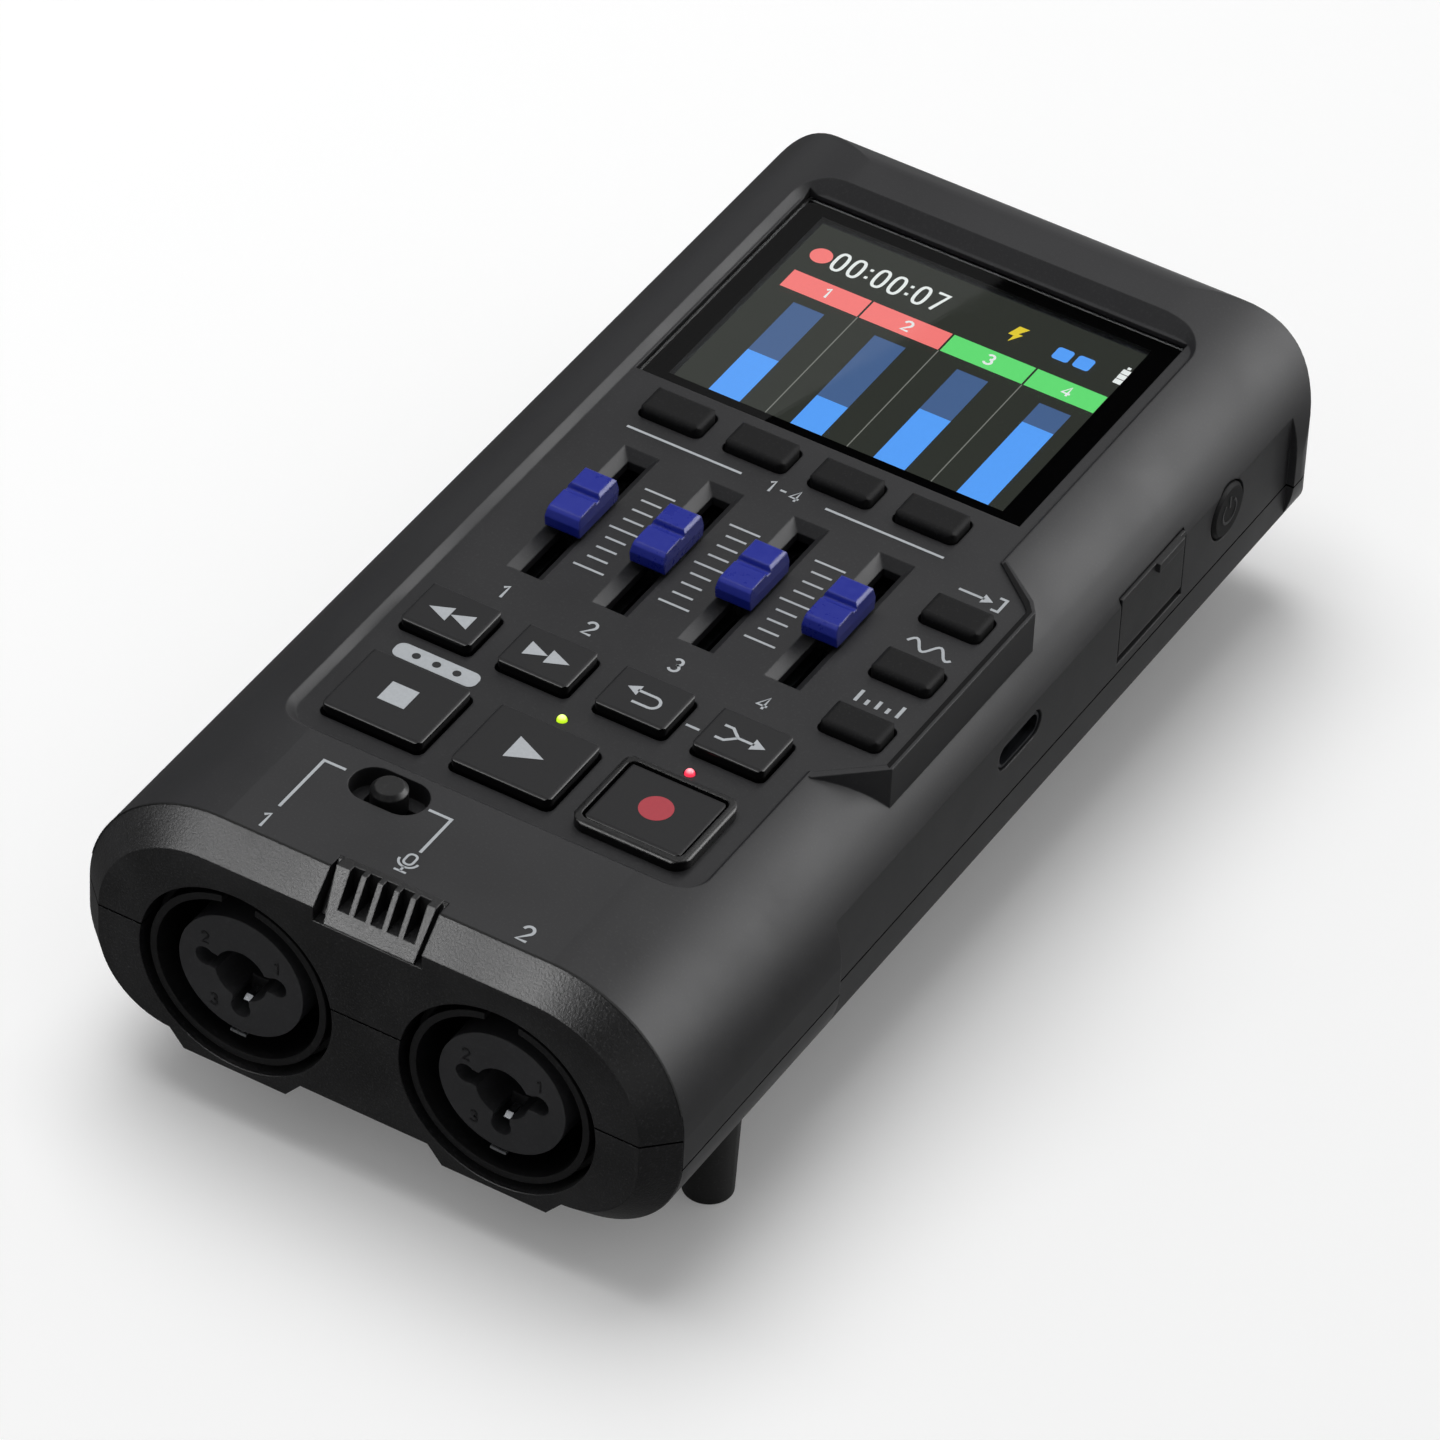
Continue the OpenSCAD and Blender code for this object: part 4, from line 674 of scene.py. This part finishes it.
screenPiece("screenGround", "litCellsGrey", 0, [box2(*screen["lit"])])
barHalf = screen["barWide"] / 2
screenPiece("screenLevels", "litCellsBlue", 1,
            [box2(x - barHalf, x + barHalf, screen["barFoot"], top)
             for x, top in zip(screen["bars"], screen["levels"])])
screenPiece("screenRoom", "litCellsNavy", 1,
            [box2(x - barHalf, x + barHalf, top + screen["barGap"], screen["barHead"])
             for x, top in zip(screen["bars"], screen["levels"])])
heads = [box2(a + screen["headGap"], b - screen["headGap"], *screen["headY"])
         for a, b in zip(screen["heads"], screen["heads"][1:])]
screenPiece("screenArmed", "litCellsRed", 1, heads[:2] + [discOutline(*screen["spot"])])
screenPiece("screenReady", "litCellsGreen", 1, heads[2:])
screenPiece("screenRules", "litCellsLine", 1, [],
            [([(x, y) for y in screen["ruleY"]], screen["ruleLine"]) for x in screen["heads"][1:4]])
bm = bmesh.new()
low = screen["base"] + 2 * screen["layer"]
high = low + screen["layer"]
addDigits(bm, "00:00:07", *screen["timeAt"], screen["timeTall"], screen["timeLine"], low, high,
          screen["timeWide"], screen["timeStep"])
for i in range(4):
    x = (screen["heads"][i] + screen["heads"][i + 1]) / 2 + screen["numberRight"]
    addDigits(bm, str(i + 1), x, screen["numberY"], screen["numberTall"], screen["numberLine"], low, high)
for i in range(3):
    rise = charge["pitch"] * i
    addPlate(bm, box2(*charge["x"], charge["foot"] + rise, charge["head"] + rise), low, high)
addPlate(bm, box2(*charge["pole"]), low, high)
finishPiece("screenDigits", bm, finish["litCellsWhite"], "chassis", None)
screenPiece("screenBadges", "litCellsBlue", 1,
            [roundOutline(x, screen["badgeY"], *screen["badge"]) for x in screen["badges"]])
screenPiece("screenBolt", "litCellsYellow", 1, [screen["bolt"]])

# black border fired into the underside of the glass
glassMask = {"outer": (49.3, 37.8), "inner": (-21.5, 21.9, 24.1, 58.0), "low": 36.86, "high": 36.93}
bm = bmesh.new()
gx, gy = screen["middle"]
gw, gh = glassMask["outer"]
addBand(bm, box2(*glassMask["inner"]), box2(gx - gw / 2, gx + gw / 2, gy - gh / 2, gy + gh / 2),
        glassMask["low"], glassMask["high"])
finishPiece("glassMask", bm, finish["firedBlackInk"], "chassis", None)
print("screen made")


# Marks and contacts at the sockets

jack = {"x": (-16.5, 16.5), "z": 20.8, "face": -70.9, "pins": (8, 172, 270),
        "numbers": (("1", 4.6, 3.4), ("2", -4.6, 3.4), ("3", -3.4, -5.0)), "numberTall": 1.5,
        "numberLine": 0.26, "numberLevels": (-0.02, 0.06)}
# the leaf's path runs in depth and in distance from the insert's middle
leaf = {"path": [(-67.1, 5.5), (-68.4, 5.35), (-69.3, 4.95), (-69.6, 4.5), (-69.0, 4.15), (-67.4, 4.3)],
        "thick": 0.08, "half": 0.42}
latch = {"radii": (8.05, 8.4), "turn": (262, 276), "depth": (-6.0, 1.2), "face": -69.9}
for side, jx in zip(("Left", "Right"), jack["x"]):
    bm = bmesh.new()
    for digit, px, pz in jack["numbers"]:
        addDigits(bm, digit, px, pz, jack["numberTall"], jack["numberLine"], *jack["numberLevels"])
    finishPiece("jackNumbers" + side, bm, finish["mouldedAbsCoarseGrain"], "chassis",
                faceMatrix((jx, jack["face"], jack["z"]), (1, 0, 0), (0, 0, 1)))
    # sprung contact leaf in each opening of the insert
    bm = bmesh.new()
    for angle in jack["pins"]:
        a = radians(angle)
        outward = Vector((cos(a), 0, sin(a)))
        across = Vector((-sin(a), 0, cos(a)))
        path = leaf["path"]
        rows = []
        for k, (y, r) in enumerate(path):
            lastY, lastR = path[max(k - 1, 0)]
            nextY, nextR = path[min(k + 1, len(path) - 1)]
            length = hypot(nextY - lastY, nextR - lastR)
            ny = -(nextR - lastR) / length * leaf["thick"]
            nr = (nextY - lastY) / length * leaf["thick"]
            row = []
            for sx, sy in ((-1, -1), (1, -1), (1, 1), (-1, 1)):
                spot = Vector((jx, y + sy * ny, jack["z"])) + outward * (r + sy * nr)
                row.append(bm.verts.new(spot + across * sx * leaf["half"]))
            rows.append(row)
        for a0, b0 in zip(rows, rows[1:]):
            for k in range(4):
                bm.faces.new((a0[k], a0[(k + 1) % 4], b0[(k + 1) % 4], b0[k]))
        bm.faces.new(rows[0])
        bm.faces.new(rows[-1][::-1])
    finishPiece("jackLeaves" + side, bm, finish["stampedNickelSteel"], "chassis", None)
    # end of the latch spring under the insert
    bm = bmesh.new()
    inner, outer = (arcPath(0, 0, r, r, *latch["turn"], 6) for r in latch["radii"])
    addPlate(bm, inner + outer[::-1], *latch["depth"])
    finishPiece("jackLatch" + side, bm, finish["stampedNickelSteel"], "chassis",
                faceMatrix((jx, latch["face"], jack["z"]), (1, 0, 0), (0, 0, 1)))
print("sockets marked")


# Microphone block: a steep slotted face sunk between two grooves in the chamfer

micBlock = {"half": 6.7, "left": (-5.5, -6.2), "right": (5.75, 6.25), "slots": 5, "pitch": 2.06,
            "slotWide": 1.4, "middle": 0.35, "front": -71.99, "foot": 34.8, "top": 40.3, "face": 3.56,
            "lip": 1.7, "slotEnd": -67.6, "back": -66.8, "root": (-68.4, 30.6), "groove": (1.4, 0.25),
            "grooveLean": 0.2}
bm = bmesh.new()
front, foot, top = micBlock["front"], micBlock["foot"], micBlock["top"]
lipAt = (front + micBlock["face"] * micBlock["lip"] / (top - foot), foot + micBlock["lip"])
sunk, below = micBlock["groove"]
rootY, rootZ = micBlock["root"]
tail = [(micBlock["back"], rootZ), (rootY, rootZ), (rootY, foot)]
points = {"foot": (front, foot), "lip": lipAt, "brow": (front + micBlock["face"], top),
          "slotTop": (micBlock["slotEnd"], top), "slotFloor": (micBlock["slotEnd"], lipAt[1]),
          "back": (micBlock["back"], top), "grooveFoot": (front + sunk, foot),
          "grooveTop": (front + micBlock["face"] + sunk - micBlock["grooveLean"], top - below),
          "grooveBack": (micBlock["back"], top - below),
          "t0": tail[0], "t1": tail[1], "t2": tail[2]}
fullRun = ["foot", "lip", "brow", "slotTop", "back", "t0", "t1", "t2"]
slotRun = ["foot", "lip", "slotFloor", "slotTop", "back", "t0", "t1", "t2"]
grooveRun = ["grooveFoot", "grooveTop", "grooveBack", "t0", "t1", "t2"]
cheek = ["foot", "lip", "brow", "slotTop", "back", "grooveBack", "grooveTop", "grooveFoot"]


def rowAt(edge):
    # one x for each point: the sides lean with height where a pair is given
    made = {}
    for key, (y, z) in points.items():
        lean = min(1, max(0, (z - foot) / (top - foot)))
        x = edge if not isinstance(edge, tuple) else edge[0] + (edge[1] - edge[0]) * lean
        made[key] = bm.verts.new((x, y, z))
    return made


def closeRun(rowA, rowB, run):
    for a, b in zip(run, run[1:] + run[:1]):
        bm.faces.new((rowA[a], rowA[b], rowB[b], rowB[a]))


slotEdges = []
for i in range(micBlock["slots"]):
    centre = micBlock["middle"] + (i - (micBlock["slots"] - 1) / 2) * micBlock["pitch"]
    slotEdges += [centre - micBlock["slotWide"] / 2, centre + micBlock["slotWide"] / 2]
edges = [-micBlock["half"], micBlock["left"]] + slotEdges + [micBlock["right"], micBlock["half"]]
rows = [rowAt(edge) for edge in edges]
runs = [grooveRun] + [fullRun, slotRun] * micBlock["slots"] + [fullRun, grooveRun]
for i, run in enumerate(runs):
    closeRun(rows[i], rows[i + 1], run)
for row in (rows[1], rows[-2]):
    bm.faces.new([row[k] for k in cheek])
for row in rows[2:-2]:
    bm.faces.new([row[k] for k in ("lip", "brow", "slotTop", "slotFloor")])
for row in (rows[0], rows[-1]):
    bm.faces.new([row[k] for k in grooveRun])
bmesh.ops.delete(bm, geom=[v for v in bm.verts if not v.link_faces], context="VERTS")
micPiece = finishPiece("micBlock", bm, finish["mouldedAbsCoarseGrain"], "chassis", None)
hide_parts("mic_grille")
print("microphone block made")

# open joint between the front piece and the case, dark along the top of the chamfer
jointLine = {"y": -68.6, "wide": 0.26, "arcAt": (20.5, 23.0), "radius": 17.0, "sunk": -0.02, "proud": 0.012,
             "start": 6.95, "end": 12}
arcX, arcZ = jointLine["arcAt"]
for name, side in (("jointLineLeft", -1), ("jointLineRight", 1)):
    bm = bmesh.new()
    rows = []
    for proud in (jointLine["sunk"], jointLine["proud"]):
        r = jointLine["radius"] + proud
        line = [(jointLine["start"], arcZ + r)] + arcPath(arcX, arcZ, r, r, 90, jointLine["end"], 26)
        for half in (-0.5, 0.5):
            y = jointLine["y"] + half * jointLine["wide"]
            rows.append([bm.verts.new((side * x, y, z)) for x, z in line])
    rows = [rows[0], rows[1], rows[3], rows[2]]
    for k in range(4):
        a, b = rows[k], rows[(k + 1) % 4]
        for i in range(len(a) - 1):
            bm.faces.new((a[i], a[i + 1], b[i + 1], b[i]))
    bm.faces.new([row[0] for row in rows])
    bm.faces.new([row[-1] for row in rows[::-1]])
    finishPiece(name, bm, finish["mouldedFootRubber"], "chassis", None)


# Marks on the sides

powerMark = {"at": (36.8, 51.0, 25.5), "radius": 1.55, "turn": (125, 415), "bar": [(0, 0.5), (0, 2.1)],
             "line": 0.34, "levels": (-0.02, 0.05)}
bm = bmesh.new()
ring = arcPath(0, 0, powerMark["radius"], powerMark["radius"], *powerMark["turn"], 24)
for path in (ring, powerMark["bar"]):
    addStroke(bm, path, powerMark["line"], *powerMark["levels"])
finishPiece("powerMark", bm, finish["mouldedAbsFineGrain"], "power_key_body",
            faceMatrix(powerMark["at"], (0, 1, 0), (0, 0, 1)))


# Studio: pale floor, soft box overhead, white air

studio = {"floor": 4.0, "floorTone": "#f4f4f4", "floorLift": 0.12, "air": 0.34, "boxPower": 5.6,
          "boxSize": 0.7, "boxAt": (-0.2, 0.1, 0.84), "boxAim": (0, 0, 0.03)}


def seenDirectly(tree):
    # 1 for what the camera sees, straight, mirrored or through glass, 0 for light that falls on things
    light = addNode(tree, "ShaderNodeLightPath")
    mirrored = addNode(tree, "ShaderNodeMath", {"operation": "MAXIMUM"},
                       {0: light.outputs["Is Camera Ray"], 1: light.outputs["Is Glossy Ray"]})
    through = addNode(tree, "ShaderNodeMath", {"operation": "MAXIMUM"},
                      {0: mirrored.outputs[0], 1: light.outputs["Is Transmission Ray"]})
    return through.outputs[0]


bm = bmesh.new()
bmesh.ops.create_grid(bm, x_segments=8, y_segments=8, size=studio["floor"] / 2)
mesh = bpy.data.meshes.new("floor")
bm.to_mesh(mesh)
bm.free()
floor = bpy.data.objects.new("floor", mesh)
floor.location = (0, 0, -0.0001)
scene.collection.objects.link(floor)
material, tree, output, place = startMaterial("paleStudioFloor")
lift = addNode(tree, "ShaderNodeMath", {"operation": "MULTIPLY"},
               {0: seenDirectly(tree), 1: studio["floorLift"]})
closeMaterial(material, tree, output,
              {"Base Color": hexToLinear(studio["floorTone"]), "Roughness": 0.9, "Specular IOR Level": 0.0,
               "Emission Color": (1, 1, 1, 1), "Emission Strength": lift.outputs[0]})
floor.data.materials.append(material)

world = bpy.data.worlds.new("studioAir")
scene.world = world
world.use_nodes = True
tree = world.node_tree
tree.nodes.clear()
level = stretch(tree, seenDirectly(tree), to=(studio["air"], 1.0))
air = addNode(tree, "ShaderNodeBackground", None, {"Color": (1, 1, 1, 1), "Strength": level})
addNode(tree, "ShaderNodeOutputWorld", None, {"Surface": air.outputs[0]})

lampData = bpy.data.lights.new("softBox", "AREA")
lampData.energy = studio["boxPower"]
lampData.size = studio["boxSize"]
softBox = bpy.data.objects.new("softBox", lampData)
softBox.location = studio["boxAt"]
boxRay = Vector(studio["boxAim"]) - Vector(studio["boxAt"])
softBox.rotation_euler = boxRay.to_track_quat("-Z", "Y").to_euler()
scene.collection.objects.link(softBox)

# cards and dark flags that only reflections see: glare on the left of the glass, sheen on the panel, the
# right shoulder and the front chamfer, dark roof, floor, left wall and front right corner
cards = {"glareEdge": ((5.8, 75.0), (-9.6, 16.0)), "glare": 0.2, "topFlag": 0.015, "floorFlag": 0.12,
         "sideFlag": 0.22, "roofFlag": 0.3, "wallFlag": 0.06, "panel": 2.2, "shoulder": 8.0,
         "chamfer": 11.0, "block": 16.0, "glassTop": 37.8, "glassMiddle": (0.4, 41.0)}


def mirrorSpot(x, y, away):
    # where the camera's ray lands on a card after it leaves the glass
    hit = Vector((x, y, cards["glassTop"])) * mm
    middle = Vector((*cards["glassMiddle"], cards["glassTop"])) * mm
    ray, facing = (hit - camSpot).normalized(), (middle - camSpot).normalized()
    ray.z, facing.z = -ray.z, -facing.z
    return hit + ray * ((middle + facing * away - hit).dot(facing) / ray.dot(facing))


def mirrorCard(outline, away):
    return [mirrorSpot(x, y, away) for x, y in outline]


def levelCard(x0, x1, y0, y1, z):
    return [(x, y, z) for x, y in box2(x0, x1, y0, y1)]


def standingCard(toward, away, wide, tall):
    middle = Vector(toward).normalized() * away
    side = Vector((-middle.y, middle.x, 0)).normalized() * wide / 2
    rise = middle.cross(side).normalized() * tall / 2
    return [middle - side - rise, middle + side - rise, middle + side + rise, middle - side + rise]


# two cards light only the front piece and the microphone block, and one of them the painted keys and the
# record key's rim too
lit = {name: bpy.data.collections.new(name + "Group")
       for name in ("blockCard", "chamferCard", "shoulderCard", "panelCard")}
for part in (nodes["front_bezel_upper"], nodes["front_bezel_lower"], micPiece):
    lit["blockCard"].objects.link(part)
    lit["chamferCard"].objects.link(part)
for name in ("rewind_key", "forward_key", "undo_key", "mix_key", "stop_key", "play_key", "record_key",
             "record_guard"):
    lit["chamferCard"].objects.link(nodes[name])
# two others light everything but what they would blind: the glass, and for one of them the fader caps
unlit = {"shoulderCard": ["display_window"],
         "panelCard": ["display_window", "fader_cap_1", "fader_cap_2", "fader_cap_3", "fader_cap_4"]}
for cardName, partNames in unlit.items():
    for name in partNames:
        lit[cardName].objects.link(nodes[name])
    for member in lit[cardName].collection_objects:
        member.light_linking.link_state = "EXCLUDE"
(ex0, ey0), (ex1, ey1) = cards["glareEdge"]
glareCorners = [(ex0, ey0), (ex1, ey1), (-100, ey1), (-100, ey0)]
cardPlaces = [
    ("glareCard", cards["glare"], mirrorCard(glareCorners, 0.48)),
    ("topFlag", cards["topFlag"], mirrorCard(box2(-220, 32, -200, 240), 0.5)),
    ("panelCard", cards["panel"], mirrorCard(box2(32, 150, -200, 240), 0.5)),
    ("roofFlag", cards["roofFlag"], levelCard(-0.37, 0.12, -0.17, 0.32, 0.55)),
    ("rightFlag", cards["sideFlag"], levelCard(0.045, 0.4, -0.1, 0.4, 0.001)),
    ("leftFlag", cards["floorFlag"], levelCard(-0.4, -0.045, -0.1, 0.4, 0.001)),
    ("frontFlag", cards["floorFlag"], levelCard(-0.3, 0.3, -0.45, -0.065, 0.0012)),
    ("shoulderCard", cards["shoulder"], standingCard((0.66, 0.6, 0.4), 0.9, 0.7, 0.55)),
    ("chamferCard", cards["chamfer"], standingCard((-0.42, -0.66, 0.62), 0.9, 0.5, 0.3)),
    ("blockCard", cards["block"], standingCard((-0.37, -0.88, 0.31), 0.9, 0.4, 0.28)),
    ("leftWall", cards["wallFlag"], standingCard((-1.0, 0.05, 0.4), 0.8, 1.3, 0.8)),
    ("cornerFlag", cards["wallFlag"], standingCard((0.52, -0.58, 0.62), 0.85, 1.4, 0.7)),
]
for name, tone, corners in cardPlaces:
    mesh = bpy.data.meshes.new(name)
    mesh.from_pydata(corners, [], [list(range(len(corners)))])
    card = bpy.data.objects.new(name, mesh)
    scene.collection.objects.link(card)
    material, tree, output, place = startMaterial(name)
    glow = addNode(tree, "ShaderNodeEmission", None, {"Color": (1, 1, 1, 1), "Strength": tone})
    tree.links.new(glow.outputs[0], output.inputs[0])
    mesh.materials.append(material)
    if name in lit:
        card.light_linking.receiver_collection = lit[name]
    # the bright cards aren't seen through the glass either
    hidden = ["camera", "diffuse", "volume_scatter", "shadow"] + (["transmission"] if tone > 1 else [])
    for ray in hidden:
        setattr(card, "visible_" + ray, False)
print("studio lit")
